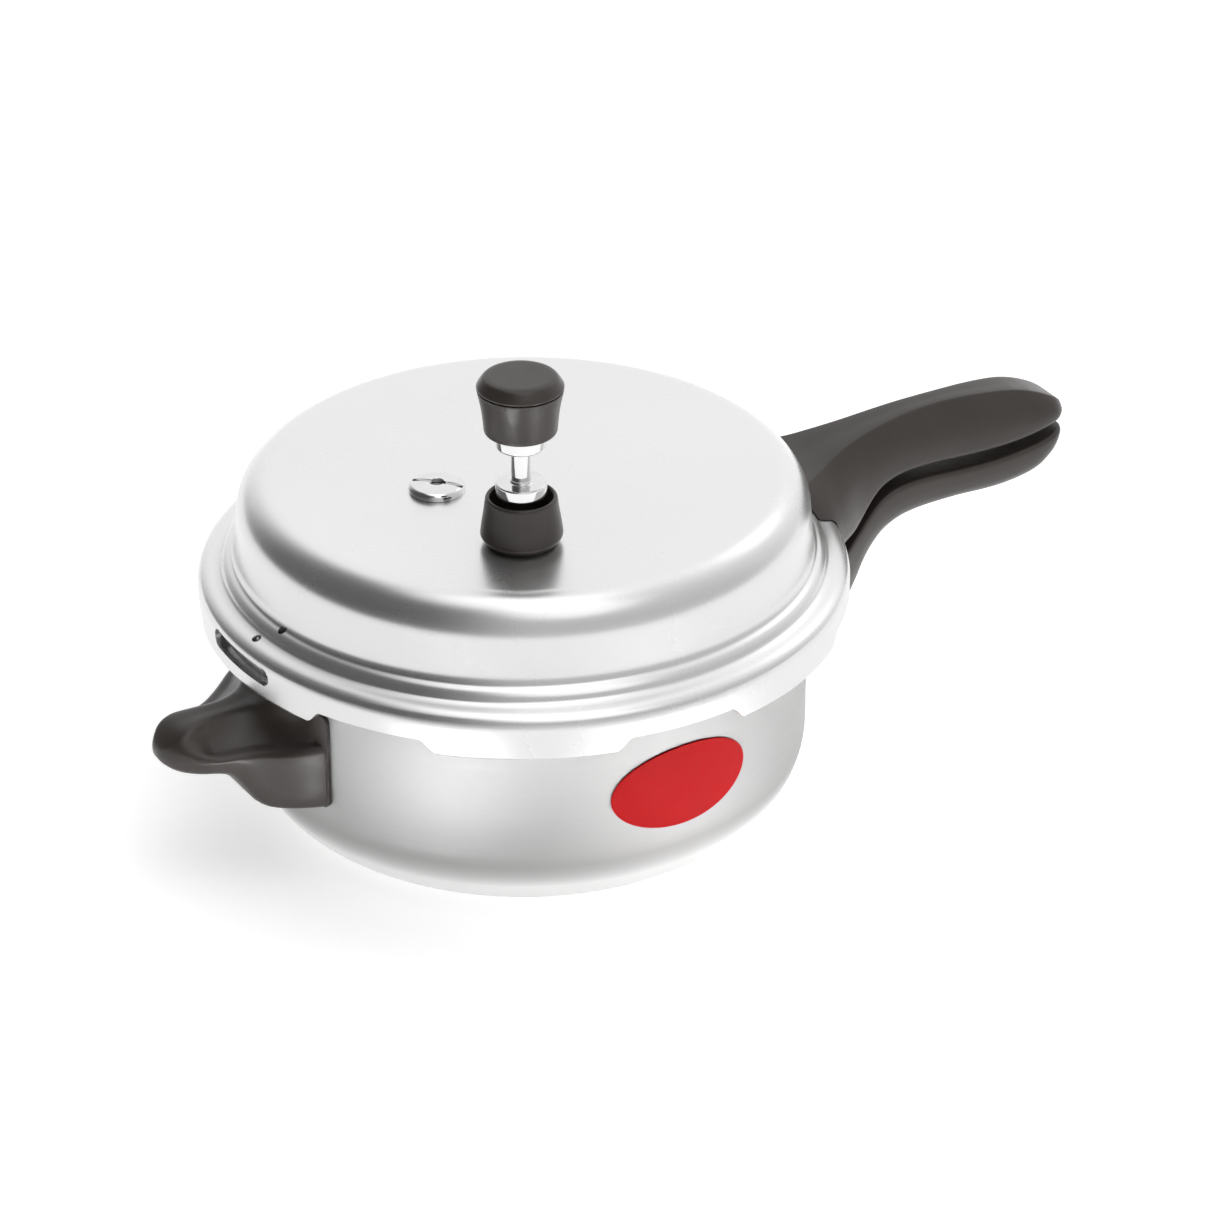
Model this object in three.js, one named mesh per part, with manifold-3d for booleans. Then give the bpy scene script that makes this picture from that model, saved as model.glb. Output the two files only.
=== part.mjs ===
// Stovetop pressure cooker: a shallow aluminium pan, an outer lid that turns to lock on the pan's lugs,
// a two-part long handle, a short helper handle, a sealing ring, a safety valve and a lift-off weight.
// Millimetres, +Z up. The origin is the centre of the pan's base, on the surface it stands on.
// +X runs along the long handle.

import * as THREE from "three";
import { mergeVertices } from "three/addons/utils/BufferGeometryUtils.js";
import { LoftGeometry } from "three/addons/geometries/LoftGeometry.js";
import Module from "manifold-3d";

// ---------- driving dimensions ----------

const GAP = 0.35; // clearance between pieces that touch
const TURN_STEPS = 48; // facets round the pan, the lid and the ring
const SMALL_STEPS = 14; // facets round small turned pieces

const PAN_R = 113; // outside of the wall
const PAN_WALL = 2.8;
const PAN_BASE = 4.2; // thickness of the base
const PAN_CORNER = 32; // outside radius between base and wall
const RIM_R = 119.4;
const RIM_TOP = 96;
const LUG_R = 125;
const LUG_BOTTOM = 90.8;
const LUG_ARC = 18; // degrees

const DOME_R = 113.5; // outside of the lid's upright wall
const DOME_SHOULDER = 16; // radius between the lid's top and its wall
const DOME_TOP = 142.8;
const DOME_EDGE_TOP = 141.6; // height of the top where the shoulder starts
const SKIRT_R = 129.5;
const SKIRT_IN = 127.2;
const SKIRT_BOTTOM = 85.6; // lower edge of the tabs
const NOTCH_TOP = 91.4; // skirt edge at the notches
const NOTCH_ARC = 22; // degrees
const LIP_IN = 120.9; // inner edge of the lip folded in under each tab
const UNLOCK_TURN = 26.35; // degrees from locked to open
const NOTCH_ANGLES = [-145.5, -90, -37.3, 37.3, 90, 153.5];

const WEIGHT_X = -29.4;
const WEIGHT_Y = -54;
const WEIGHT_FOOT = 142.8; // height of the weight's lower edge
const VALVE_X = -38.5;
const VALVE_Y = -0.8;
const VALVE_R = 11.1;
const VENT_HOLE_R = 4.6;
const VALVE_HOLE_R = 7.4;

const HANDLE_END = 252; // reach of the long handle from the pan's axis
const HELPER_END = 162.2; // reach of the helper handle

// ---------- materials ----------

function material(color, roughness, metalness) {
  return new THREE.MeshStandardMaterial({ color, roughness, metalness });
}

const aluminium = () => material(0xe6e6e6, 0.22, 1);
const bakelite = () => material(0x453f3d, 0.45, 0);
const chrome = () => material(0xf2f2f2, 0.08, 1);
const steel = () => material(0xb9bbbd, 0.35, 1);
const rubber = () => material(0x1f1f20, 0.75, 0);
const fusible = () => material(0x9a9ca0, 0.5, 1);
const red = () => material(0xcc1f28, 0.4, 0);

// ---------- solids ----------

const wasm = await Module();
wasm.setup();

function toSolid(geometry) {
  const bare = new THREE.BufferGeometry();
  bare.setAttribute("position", geometry.attributes.position);
  if (geometry.index) bare.setIndex(geometry.index);
  const merged = mergeVertices(bare, 1e-4);
  const index = merged.index.array;
  const kept = [];
  for (let i = 0; i < index.length; i += 3) {
    const [a, b, c] = [index[i], index[i + 1], index[i + 2]];
    if (a !== b && b !== c && c !== a) kept.push(a, b, c);
  }
  const mesh = new wasm.Mesh({
    numProp: 3,
    vertProperties: new Float32Array(merged.attributes.position.array),
    triVerts: new Uint32Array(kept),
  });
  const solid = new wasm.Manifold(mesh);
  if (solid.volume() >= 0) return solid;
  for (let i = 0; i < kept.length; i += 3) {
    [kept[i], kept[i + 1]] = [kept[i + 1], kept[i]];
  }
  mesh.triVerts = new Uint32Array(kept);
  return new wasm.Manifold(mesh);
}

function toGeometry(solid) {
  const { vertProperties, triVerts } = solid.getMesh();
  const geometry = new THREE.BufferGeometry();
  geometry.setAttribute("position", new THREE.BufferAttribute(vertProperties, 3));
  geometry.setIndex(new THREE.BufferAttribute(triVerts, 1));
  geometry.computeVertexNormals();
  return geometry;
}

// A closed profile of [radius, height] pairs turned about the Z axis.
function turned(profile, steps = TURN_STEPS) {
  const points = profile.map(([r, z]) => new THREE.Vector2(r, z));
  const onAxis = profile[0][0] === 0 && profile.at(-1)[0] === 0;
  if (!onAxis) points.push(points[0].clone());
  const geometry = new THREE.LatheGeometry(points, steps);
  geometry.rotateX(Math.PI / 2);
  return toSolid(geometry);
}

function extruded(shape, depth, steps = 12) {
  return new THREE.ExtrudeGeometry(shape, { depth, bevelEnabled: false, curveSegments: steps });
}

// An outline in the XY plane, raised from z0 to z1.
function raised(points, z0, z1) {
  const geometry = extruded(new THREE.Shape(points.map(([x, y]) => new THREE.Vector2(x, y))), z1 - z0);
  geometry.translate(0, 0, z0);
  return toSolid(geometry);
}

// A side outline of [x, z] pairs, given a width centred on y = 0.
function sideOutline(points, width) {
  const geometry = extruded(new THREE.Shape(points.map(([x, z]) => new THREE.Vector2(x, z))), width);
  geometry.rotateX(Math.PI / 2);
  geometry.translate(0, width / 2, 0);
  return toSolid(geometry);
}

// Part of a flat ring about the Z axis, between two angles in degrees.
function ringSector(r0, r1, z0, z1, middle, arc) {
  const count = Math.max(3, Math.round(arc / 4));
  const at = (r, i) => {
    const angle = THREE.MathUtils.degToRad(middle - arc / 2 + (arc * i) / count);
    return [r * Math.cos(angle), r * Math.sin(angle)];
  };
  const outline = [];
  for (let i = 0; i <= count; i++) outline.push(at(r1, i));
  for (let i = count; i >= 0; i--) outline.push(at(r0, i));
  return raised(outline, z0, z1);
}

// Part of a ring given as heights and an arc in degrees, with room added all round.
function plate(middle, { z0, z1, arc }, r0, r1, room = 0) {
  const extra = THREE.MathUtils.radToDeg(room / r0);
  return ringSector(r0 - room, r1 + room, z0 - room, z1 + room, middle, arc + 2 * extra);
}

function drill(x, y, radius, z0, z1, steps = SMALL_STEPS) {
  const hole = turned([[0, z0], [radius, z0], [radius, z1], [0, z1]], steps);
  return hole.translate([x, y, 0]);
}

// A drill along the radius that leaves the axis at an angle in degrees and a height z.
function radialDrill(angle, z, radius, r0, r1) {
  const hole = turned([[0, r0], [radius, r0], [radius, r1], [0, r1]], SMALL_STEPS);
  return hole.rotate([0, 90, 0]).translate([0, 0, z]).rotate([0, 0, angle]);
}

// The same thickness on both sides of a bent centre line of [x, z] pairs; reach lengthens its far end.
function strip(line, thickness, width, reach = 0) {
  const points = line.map(([x, z]) => new THREE.Vector2(x, z));
  const end = points.at(-1);
  end.add(end.clone().sub(points.at(-2)).setLength(Math.max(reach, 1e-6)));
  const sides = [[], []];
  points.forEach((point, i) => {
    const before = points[Math.max(0, i - 1)];
    const after = points[Math.min(points.length - 1, i + 1)];
    const across = after.clone().sub(before).setLength(thickness / 2);
    sides[0].push([point.x + across.y, point.y - across.x]);
    sides[1].unshift([point.x - across.y, point.y + across.x]);
  });
  return sideOutline([...sides[0], ...sides[1]], width);
}

// Smooth curve through [x, value] pairs, read at any x.
function curveThrough(pairs) {
  return (x) => {
    const last = pairs.length - 1;
    if (x <= pairs[0][0]) return pairs[0][1];
    if (x >= pairs[last][0]) return pairs[last][1];
    const i = pairs.findIndex(([px]) => px > x) - 1;
    const slope = (k) => {
      const [a, b] = [pairs[Math.max(0, k - 1)], pairs[Math.min(last, k + 1)]];
      return (b[1] - a[1]) / (b[0] - a[0]);
    };
    const [x0, y0] = pairs[i];
    const [x1, y1] = pairs[i + 1];
    const span = x1 - x0;
    const t = (x - x0) / span;
    const [t2, t3] = [t * t, t * t * t];
    return (2 * t3 - 3 * t2 + 1) * y0 + (t3 - 2 * t2 + t) * span * slope(i)
      + (3 * t2 - 2 * t3) * y1 + (t3 - t2) * span * slope(i + 1);
  };
}

// A handle skin through sections across X. half(x) lists the right half of a section as [y, z] pairs,
// from the middle of the top, down the side, to the middle of the bottom. Near the tip, sections shrink
// towards the height tipZ(x) by the factor shrink(x).
function handleSkin(stations, half, shrink, tipZ) {
  const sections = stations.map((x) => {
    const right = half(x);
    const left = right.slice(1, -1).map(([y, z]) => [-y, z]).reverse();
    const factor = shrink(x);
    const middle = tipZ(x);
    const place = ([y, z]) => new THREE.Vector3(x, y * factor, middle + (z - middle) * factor);
    return [...right, ...left].reverse().map(place);
  });
  return toSolid(new LoftGeometry(sections, { capStart: true, capEnd: true }));
}

const group = new THREE.Group();

function add(name, solid, looks) {
  const mesh = new THREE.Mesh(toGeometry(solid), looks);
  mesh.name = name;
  group.add(mesh);
}

// ---------- pan ----------

const innerR = PAN_R - PAN_WALL;

function cornerArc(radius, centreR, centreZ, from, to, count) {
  const points = [];
  for (let i = 0; i <= count; i++) {
    const angle = THREE.MathUtils.degToRad(from + ((to - from) * i) / count);
    points.push([centreR + radius * Math.cos(angle), centreZ + radius * Math.sin(angle)]);
  }
  return points;
}

const panProfile = [
  [0, 0],
  ...cornerArc(PAN_CORNER, PAN_R - PAN_CORNER, PAN_CORNER, -90, 0, 6),
  [PAN_R, 87.4],
  [114.6, 89.6],
  [117.2, LUG_BOTTOM],
  [RIM_R, LUG_BOTTOM],
  [RIM_R, RIM_TOP],
  [111.4, RIM_TOP],
  [innerR, 94.6],
  ...cornerArc(PAN_CORNER - PAN_WALL, PAN_R - PAN_CORNER, PAN_CORNER - PAN_WALL + PAN_BASE, 0, -90, 5),
  [0, PAN_BASE],
];

let pan = turned(panProfile);
for (const angle of NOTCH_ANGLES) {
  pan = pan.add(ringSector(RIM_R - 1.4, LUG_R, LUG_BOTTOM, RIM_TOP, angle + UNLOCK_TURN, LUG_ARC));
}

const PLATE_IN = PAN_R + GAP;
const PLATE_OUT = PLATE_IN + 2;
const TONGUE = 12; // width of the bracket tongues
const PAN_RIVET_ARC = 5.6; // degrees from the handle's middle line
const PAN_RIVET_R = 2.2;
const LOWER_RIVET_Z = 54;
const HELPER_RIVET_Z = 57;

for (const side of [-1, 1]) {
  pan = pan.subtract(radialDrill(side * PAN_RIVET_ARC, LOWER_RIVET_Z, PAN_RIVET_R + GAP, 100, 120));
  pan = pan.subtract(radialDrill(180 + side * PAN_RIVET_ARC, HELPER_RIVET_Z, PAN_RIVET_R + GAP, 100, 120));
}
add("pan_body", pan, aluminium());

// Red oval label, curved with the wall.
const LABEL_ANGLE = -85.6;
const LABEL_HALF_WIDTH = 31;
const LABEL_HALF_HEIGHT = 17.4;
const LABEL_Z = 54.4;
const LABEL_IN = PAN_R + GAP;
const LABEL_OUT = LABEL_IN + 0.4;
const labelBand = turned([[LABEL_IN, 30], [LABEL_OUT, 30], [LABEL_OUT, 80], [LABEL_IN, 80]]);
const oval = extruded(
  new THREE.Shape().absellipse(0, 0, LABEL_HALF_HEIGHT, LABEL_HALF_WIDTH, 0, 2 * Math.PI),
  60,
  20,
);
oval.rotateY(Math.PI / 2);
oval.translate(80, 0, LABEL_Z);
add("pan_label", labelBand.intersect(toSolid(oval).rotate([0, 0, LABEL_ANGLE])), red());

// ---------- brackets, rivets and screws ----------

// A rivet along the radius: a flat head inside, a domed head outside.
function rivet(angle, z, radius, inside, outside) {
  const profile = [
    [0, inside - 1.5],
    [radius * 1.7, inside - 1.5],
    [radius * 1.9, inside],
    [radius, inside],
    [radius, outside],
    [radius * 1.8, outside],
    [radius * 1.2, outside + 1.4],
    [0, outside + 1.7],
  ];
  return turned(profile, SMALL_STEPS).rotate([0, 90, 0]).translate([0, 0, z]).rotate([0, 0, angle]);
}

// A pan-head screw along Z, head down, with a cross slot; top is the end of its shank.
const SCREW_R = 2;
const SCREW_HEAD_R = 4;
const SCREW_HEAD = 2.6;
function screw(x, y, headBottom, top) {
  const profile = [
    [0, headBottom],
    [SCREW_HEAD_R * 0.8, headBottom],
    [SCREW_HEAD_R, headBottom + 0.9],
    [SCREW_HEAD_R, headBottom + SCREW_HEAD],
    [SCREW_R, headBottom + SCREW_HEAD],
    [SCREW_R, top - 1.2],
    [SCREW_R * 0.4, top],
    [0, top],
  ];
  const slot = raised([[-2.4, -0.5], [2.4, -0.5], [2.4, 0.5], [-2.4, 0.5]], headBottom - 1, headBottom + 1.1);
  const body = turned(profile, SMALL_STEPS).subtract(slot).subtract(slot.rotate([0, 0, 90]));
  return body.translate([x, y, 0]);
}

function screwHole(x, y, seat, top) {
  const shank = drill(x, y, SCREW_R + GAP, seat - 6, top + GAP);
  return shank.add(drill(x, y, SCREW_HEAD_R + GAP, seat - 20, seat));
}

// ---------- lower half of the long handle ----------

const handleStations = [
  106, 118, 130, 136, 141, 146, 151, 156, 162, 169, 178, 192, 208, 224, 238, 245, 249, 251.2, HANDLE_END,
];
const tipCurve = curveThrough([
  [236, 1], [244, 0.985], [248, 0.93], [250.6, 0.8], [251.6, 0.66], [HANDLE_END, 0.5],
]);
const lowerTop = curveThrough([
  [106, 76], [130, 76], [137, 77], [142, 79.6], [148, 84], [154, 89.2], [160, 93.4], [168, 96.4], [178, 97.4],
  [200, 97.2], [220, 98], [242, 101.2], [252, 103.4],
]);
const lowerBottom = curveThrough([
  [106, 37], [124, 37.5], [134, 41], [142, 47.5], [147, 54.5], [151, 62], [156, 68.8], [163, 75.4], [174, 80],
  [196, 82], [221, 82.2], [238, 85.4], [246, 90.4], [252, 96],
]);
const lowerWidth = curveThrough([
  [106, 35], [118, 31.6], [126, 28], [132, 25], [138, 21.8], [146, 18], [155, 15], [165, 13.4], [185, 12.6],
  [215, 13.6], [236, 13.6], [246, 12], [252, 10],
]);

// Flat on top with a rounded edge, and rounded underneath.
function lowerHalf(x) {
  const [low, high, w] = [lowerBottom(x), lowerTop(x), lowerWidth(x)];
  const at = (part) => low + (high - low) * part;
  return [
    [0, high], [w * 0.6, high], [w - 1.6, high - 0.3], [w - 0.3, high - 1.6], [w, at(0.7)],
    [w * 0.97, at(0.5)], [w * 0.88, at(0.28)], [w * 0.7, at(0.1)], [w * 0.4, at(0.015)], [0, low],
  ];
}

let lowerHandle = handleSkin(handleStations, lowerHalf, tipCurve, () => 101.5);
const lowerTongue = [
  [114.2, 50], [120, 50], [132, 54], [141, 61], [150, 73], [160, 84], [170, 89.6], [184, 90.6],
];
const LOWER_PLATE = { z0: 43, z1: 62, arc: 18 };
const LOWER_SCREW_X = 177;
const LOWER_SCREW_SEAT = 85.6;
const LOWER_SCREW_TOP = 95.6;

const insidePan = turned([[0, 0], [PAN_R + GAP, 0], [PAN_R + GAP, 140], [0, 140]]);
lowerHandle = lowerHandle
  .subtract(insidePan)
  .subtract(plate(0, LOWER_PLATE, PAN_R, PLATE_OUT + 2.2, GAP))
  .subtract(strip(lowerTongue, 2.2 + 2 * GAP, TONGUE + 2 * GAP, 1))
  .subtract(screwHole(LOWER_SCREW_X, 0, LOWER_SCREW_SEAT, LOWER_SCREW_TOP));
add("lower_handle", lowerHandle, bakelite());

let lowerBracket = plate(0, LOWER_PLATE, PLATE_IN, PLATE_OUT)
  .add(strip(lowerTongue, 2.2, TONGUE).subtract(insidePan))
  .subtract(drill(LOWER_SCREW_X, 0, SCREW_R + GAP, 80, 100));
const PAN_RIVET_IN = innerR - GAP - 0.2;
const PAN_RIVET_OUT = PLATE_OUT + GAP;
for (const side of [-1, 1]) {
  const name = side < 0 ? "lower_handle_rivet_right" : "lower_handle_rivet_left";
  const angle = side * PAN_RIVET_ARC;
  lowerBracket = lowerBracket.subtract(radialDrill(angle, LOWER_RIVET_Z, PAN_RIVET_R + GAP, 105, 125));
  add(name, rivet(angle, LOWER_RIVET_Z, PAN_RIVET_R, PAN_RIVET_IN, PAN_RIVET_OUT), aluminium());
}
add("lower_handle_bracket", lowerBracket, steel());
add(
  "lower_handle_screw",
  screw(LOWER_SCREW_X, 0, LOWER_SCREW_SEAT - GAP - SCREW_HEAD, LOWER_SCREW_TOP),
  steel(),
);

// ---------- helper handle ----------

const helperStations = [
  104, 112, 116, 120, 124, 128, 131, 135, 140, 146, 151, 155, 158, 160.4, 161.6, HELPER_END,
];
const helperCrest = curveThrough([
  [104, 78.4], [114, 78.4], [118, 75.4], [122, 72.6], [130, 71.2], [145, 70.6], [152, 69.6], [158, 68],
  [163, 66],
]);
const helperCrestWidth = curveThrough([
  [104, 30], [112, 23], [118, 12], [124, 8], [132, 6], [144, 6.4], [152, 8], [162, 8],
]);
const helperRidge = curveThrough([[104, 64], [114, 63], [122, 61.4], [136, 60], [150, 59.4], [162, 59]]);
const helperWidth = curveThrough([
  [104, 40], [108, 37.4], [112, 35], [116.6, 32.4], [120, 30.2], [124.5, 27], [130, 23.4], [136, 20.9],
  [143, 19], [149, 17], [153, 15], [157, 13.4], [162, 12],
]);
const helperBottom = curveThrough([
  [104, 38], [112, 38], [122, 37.2], [127, 37.6], [131, 39.8], [134, 43.6], [138, 48.4], [142, 50.2],
  [150, 51], [162, 52],
]);
const helperSquare = curveThrough([[104, 1], [127, 1], [131, 0.8], [135, 0.3], [139, 0], [162, 0]]);
const helperScoop = curveThrough([[104, 1], [142, 1], [150, 0.55], [156, 0], [163, 0]]);
const helperTip = curveThrough([
  [148, 1], [152, 0.98], [155, 0.92], [158, 0.78], [160.4, 0.55], [161.6, 0.36], [HELPER_END, 0.14],
]);

// A narrow crest, a hollow on each side for thumb and finger, a side ridge, and an underside that is
// square near the pan and rounded below the nose.
function helperHalf(x) {
  const [low, high, ridge] = [helperBottom(x), helperCrest(x), helperRidge(x)];
  const [crest, w, scoop, square] = [helperCrestWidth(x), helperWidth(x), helperScoop(x), helperSquare(x)];
  const across = (part) => crest + (w - crest) * part;
  const down = (part, bulge) => high - (high - ridge) * (part * scoop + bulge * (1 - scoop));
  const under = (width, part, squareWidth, squarePart) => [
    w * (width + (squareWidth - width) * square),
    low + (ridge - low) * (part + (squarePart - part) * square),
  ];
  return [
    [0, high], [crest, down(0.03, 0.05)], [across(0.3), down(0.5, 0.14)], [across(0.62), down(0.84, 0.38)],
    [across(0.9), down(0.94, 0.72)], [w, low + (ridge - low) * 0.93], under(0.97, 0.62, 1, 0.5),
    under(0.88, 0.26, 0.99, 0.08), under(0.62, 0.04, 0.93, 0), [0, low],
  ];
}

const HELPER_FLANGE = { z0: 38.4, z1: 79, arc: 41 };
let helperHandle = handleSkin(helperStations, helperHalf, helperTip, () => 58.6)
  .rotate([0, 0, 180])
  .add(plate(180, HELPER_FLANGE, PAN_R, PAN_R + 2));
const HELPER_PLATE = { z0: 47, z1: 68, arc: 19 };
const HELPER_SCREW_X = 139;
const HELPER_SCREW_SEAT = 54.4;
const HELPER_SCREW_TOP = 63;
const helperTongue = [[114.2, 59], [124, 59], [146, 59]];
helperHandle = helperHandle
  .subtract(insidePan)
  .subtract(plate(180, HELPER_PLATE, PAN_R, PLATE_OUT + 2.2, GAP))
  .subtract(strip(helperTongue, 2.2 + 2 * GAP, TONGUE + 2 * GAP, 1).rotate([0, 0, 180]))
  .subtract(screwHole(-HELPER_SCREW_X, 0, HELPER_SCREW_SEAT, HELPER_SCREW_TOP));
add("helper_handle", helperHandle, bakelite());

let helperBracket = strip(helperTongue, 2.2, TONGUE)
  .subtract(insidePan)
  .rotate([0, 0, 180])
  .add(plate(180, HELPER_PLATE, PLATE_IN, PLATE_OUT))
  .subtract(drill(-HELPER_SCREW_X, 0, SCREW_R + GAP, 50, 70));
for (const side of [-1, 1]) {
  const name = side < 0 ? "helper_rivet_left" : "helper_rivet_right";
  const angle = 180 + side * PAN_RIVET_ARC;
  helperBracket = helperBracket.subtract(radialDrill(angle, HELPER_RIVET_Z, PAN_RIVET_R + GAP, 105, 125));
  add(name, rivet(angle, HELPER_RIVET_Z, PAN_RIVET_R, PAN_RIVET_IN, PAN_RIVET_OUT), aluminium());
}
add("helper_bracket", helperBracket, steel());
add(
  "helper_screw",
  screw(-HELPER_SCREW_X, 0, HELPER_SCREW_SEAT - GAP - SCREW_HEAD, HELPER_SCREW_TOP),
  steel(),
);

// ---------- sealing ring ----------

add(
  "sealing_ring",
  turned([
    [113.8, RIM_TOP + GAP],
    [126.6, RIM_TOP + GAP],
    [126, 99.6],
    [120.6, 101.4],
    [114.2, 101.4],
    [119.6, 99.6],
    [119.6, 98.6],
    [113.8, 98],
  ]),
  rubber(),
);

// ---------- lid ----------

const lidOutside = [
  [0, DOME_TOP],
  [62, DOME_TOP - 0.5],
  ...cornerArc(DOME_SHOULDER, DOME_R - DOME_SHOULDER, DOME_EDGE_TOP - DOME_SHOULDER, 90, 0, 6),
  [114.9, 111.2],
  [115.8, 109.5],
  [117.9, 108.7],
  [119.4, 107.2],
  [120.4, 105.2],
  [122.4, 104.4],
  [126.4, 103.2],
  [128.7, 101.4],
  [SKIRT_R, 99],
];
const lidProfile = [
  ...lidOutside,
  [SKIRT_R, SKIRT_BOTTOM + 0.7],
  [SKIRT_R - 0.7, SKIRT_BOTTOM],
  [LIP_IN, SKIRT_BOTTOM],
  [LIP_IN, SKIRT_BOTTOM + 2],
  [SKIRT_IN, SKIRT_BOTTOM + 2.2],
  [SKIRT_IN, 98.6],
  [126, 100.8],
  [121.6, 102.2],
  [119, 103],
  [117.6, 105.4],
  [114.4, 106.8],
  [112.6, 110.4],
  [DOME_R - 2.3, 122],
  ...cornerArc(DOME_SHOULDER - 2.3, DOME_R - DOME_SHOULDER, DOME_EDGE_TOP - DOME_SHOULDER, 15, 90, 4),
  [0, DOME_TOP - 2.4],
];

let lid = turned(lidProfile);
for (const angle of NOTCH_ANGLES) {
  lid = lid.subtract(ringSector(LIP_IN - 1, SKIRT_R + 2, SKIRT_BOTTOM - 2, NOTCH_TOP, angle, NOTCH_ARC));
}
const WINDOW = { z0: 91.8, z1: 99.2, middle: 183.4, arc: 19 };
lid = lid
  .subtract(ringSector(SKIRT_IN - 1.6, SKIRT_R + 2, WINDOW.z0, WINDOW.z1, WINDOW.middle, WINDOW.arc))
  .subtract(drill(-122.4, -11.4, 1.9, 96, 112, 12))
  .subtract(drill(-114.6, -18.7, 1.9, 96, 110.6, 12))
  .subtract(drill(WEIGHT_X, WEIGHT_Y, VENT_HOLE_R, 130, 150))
  .subtract(drill(VALVE_X, VALVE_Y, VALVE_HOLE_R, 130, 150));

const LID_RIVET_ARC = 3.6; // degrees from the handle's middle line
const LID_RIVET_R = 1.5;
const LID_RIVET_Z = 93;
const LID_PLATE = { z0: 90, z1: 98.4, arc: 12 };
const LID_PLATE_IN = SKIRT_R + GAP;
const LID_PLATE_OUT = LID_PLATE_IN + 1.6;
for (const side of [-1, 1]) {
  lid = lid.subtract(radialDrill(side * LID_RIVET_ARC, LID_RIVET_Z, LID_RIVET_R + GAP, 126.6, 134));
}
add("lid_shell", lid, aluminium());

// ---------- upper half of the long handle ----------

const upperTop = curveThrough([
  [106, 115], [118, 115.4], [128, 117], [140, 120.2], [152, 122.8], [164, 124.9], [178, 126.6], [194, 127.2],
  [210, 126.8], [226, 125.2], [236, 122.4], [246, 118], [252, 114.6],
]);
const upperBottom = curveThrough([
  [106, 88.6], [132, 88.6], [138, 88.4], [143, 89.4], [149, 92.8], [155, 97.4], [161, 100.4], [170, 102.4],
  [184, 103], [204, 102.8], [224, 103.6], [240, 105.8], [252, 107.4],
]);
const upperFoot = curveThrough([
  [106, 43], [118, 41.4], [124, 38], [128, 34.4], [132, 31.2], [138, 26.6], [145, 21.4], [152, 17.6],
  [160, 15.2], [170, 13.8], [185, 13.2], [215, 14.2], [236, 14], [246, 12.4], [252, 10.4],
]);
const upperRidge = curveThrough([
  [106, 23.5], [116, 22.5], [124, 19], [132, 15], [141, 11.6], [152, 8.8], [164, 7], [180, 5.6], [196, 5.4],
  [214, 6.4], [232, 7.4], [246, 7.8], [252, 7],
]);

// A flat top between two ridges, and bulging sides that spread down to a rounded lower edge.
function upperHalf(x) {
  const [low, high] = [upperBottom(x), upperTop(x)];
  const [foot, ridge] = [upperFoot(x), upperRidge(x)];
  const side = (part, bulge) => [ridge + (foot - ridge) * bulge, high - (high - low - 3) * part];
  return [
    [0, high], [ridge - 0.5, high], side(0.03, 0.06), side(0.22, 0.38), side(0.46, 0.68), side(0.72, 0.9),
    side(0.94, 1), [foot - 0.2, low + 1.8], [foot - 1.7, low + 0.2], [foot * 0.6, low], [0, low],
  ];
}

let upperHandle = handleSkin(handleStations, upperHalf, tipCurve, () => 110.5);
const upperTongue = [[131, 96], [135.4, 97], [142, 101.4], [152, 109.6], [160, 113], [170, 114], [186, 114]];
const UPPER_SCREW_X = 178;
const UPPER_SCREW_SEAT = 107.4;
const UPPER_SCREW_TOP = 119.6;
const underLid = turned([
  [0, 70],
  [SKIRT_R + GAP, 70],
  ...lidOutside.slice(2).reverse().map(([r, z]) => [r + GAP, z + GAP]),
  [0, DOME_EDGE_TOP + GAP],
]);
upperHandle = upperHandle
  .subtract(underLid)
  .subtract(plate(0, LID_PLATE, SKIRT_R, LID_PLATE_OUT + 2, GAP))
  .subtract(strip(upperTongue, 2.2 + 2 * GAP, TONGUE + 2 * GAP, 1))
  .subtract(screwHole(UPPER_SCREW_X, 0, UPPER_SCREW_SEAT, UPPER_SCREW_TOP));
add("upper_handle", upperHandle, bakelite());

const insideSkirt = turned([[0, 0], [LID_PLATE_IN, 0], [LID_PLATE_IN, 140], [0, 140]]);
let upperBracket = plate(0, LID_PLATE, LID_PLATE_IN, LID_PLATE_OUT)
  .add(strip(upperTongue, 2.2, TONGUE).subtract(insideSkirt))
  .subtract(drill(UPPER_SCREW_X, 0, SCREW_R + GAP, 100, 130));
for (const side of [-1, 1]) {
  const name = side < 0 ? "upper_handle_rivet_right" : "upper_handle_rivet_left";
  const angle = side * LID_RIVET_ARC;
  upperBracket = upperBracket.subtract(radialDrill(angle, LID_RIVET_Z, LID_RIVET_R + GAP, 126, 134));
  add(name, rivet(angle, LID_RIVET_Z, LID_RIVET_R, SKIRT_IN - GAP, LID_PLATE_OUT + GAP), aluminium());
}
add("upper_handle_bracket", upperBracket, steel());
add(
  "upper_handle_screw",
  screw(UPPER_SCREW_X, 0, UPPER_SCREW_SEAT - GAP - SCREW_HEAD, UPPER_SCREW_TOP),
  steel(),
);

// ---------- vent tube, with its washer and nut under the lid ----------

function hexagon(radius, z0, z1) {
  const corner = (i) => [radius * Math.cos((i * Math.PI) / 3), radius * Math.sin((i * Math.PI) / 3)];
  return raised([0, 1, 2, 3, 4, 5].map(corner), z0, z1);
}

const LID_UNDER = DOME_TOP - 3.5; // just under the lid beneath the vent and the valve
const onVent = (solid) => solid.translate([WEIGHT_X, WEIGHT_Y, 0]);
const onValve = (solid) => solid.translate([VALVE_X, VALVE_Y, 0]);

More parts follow.
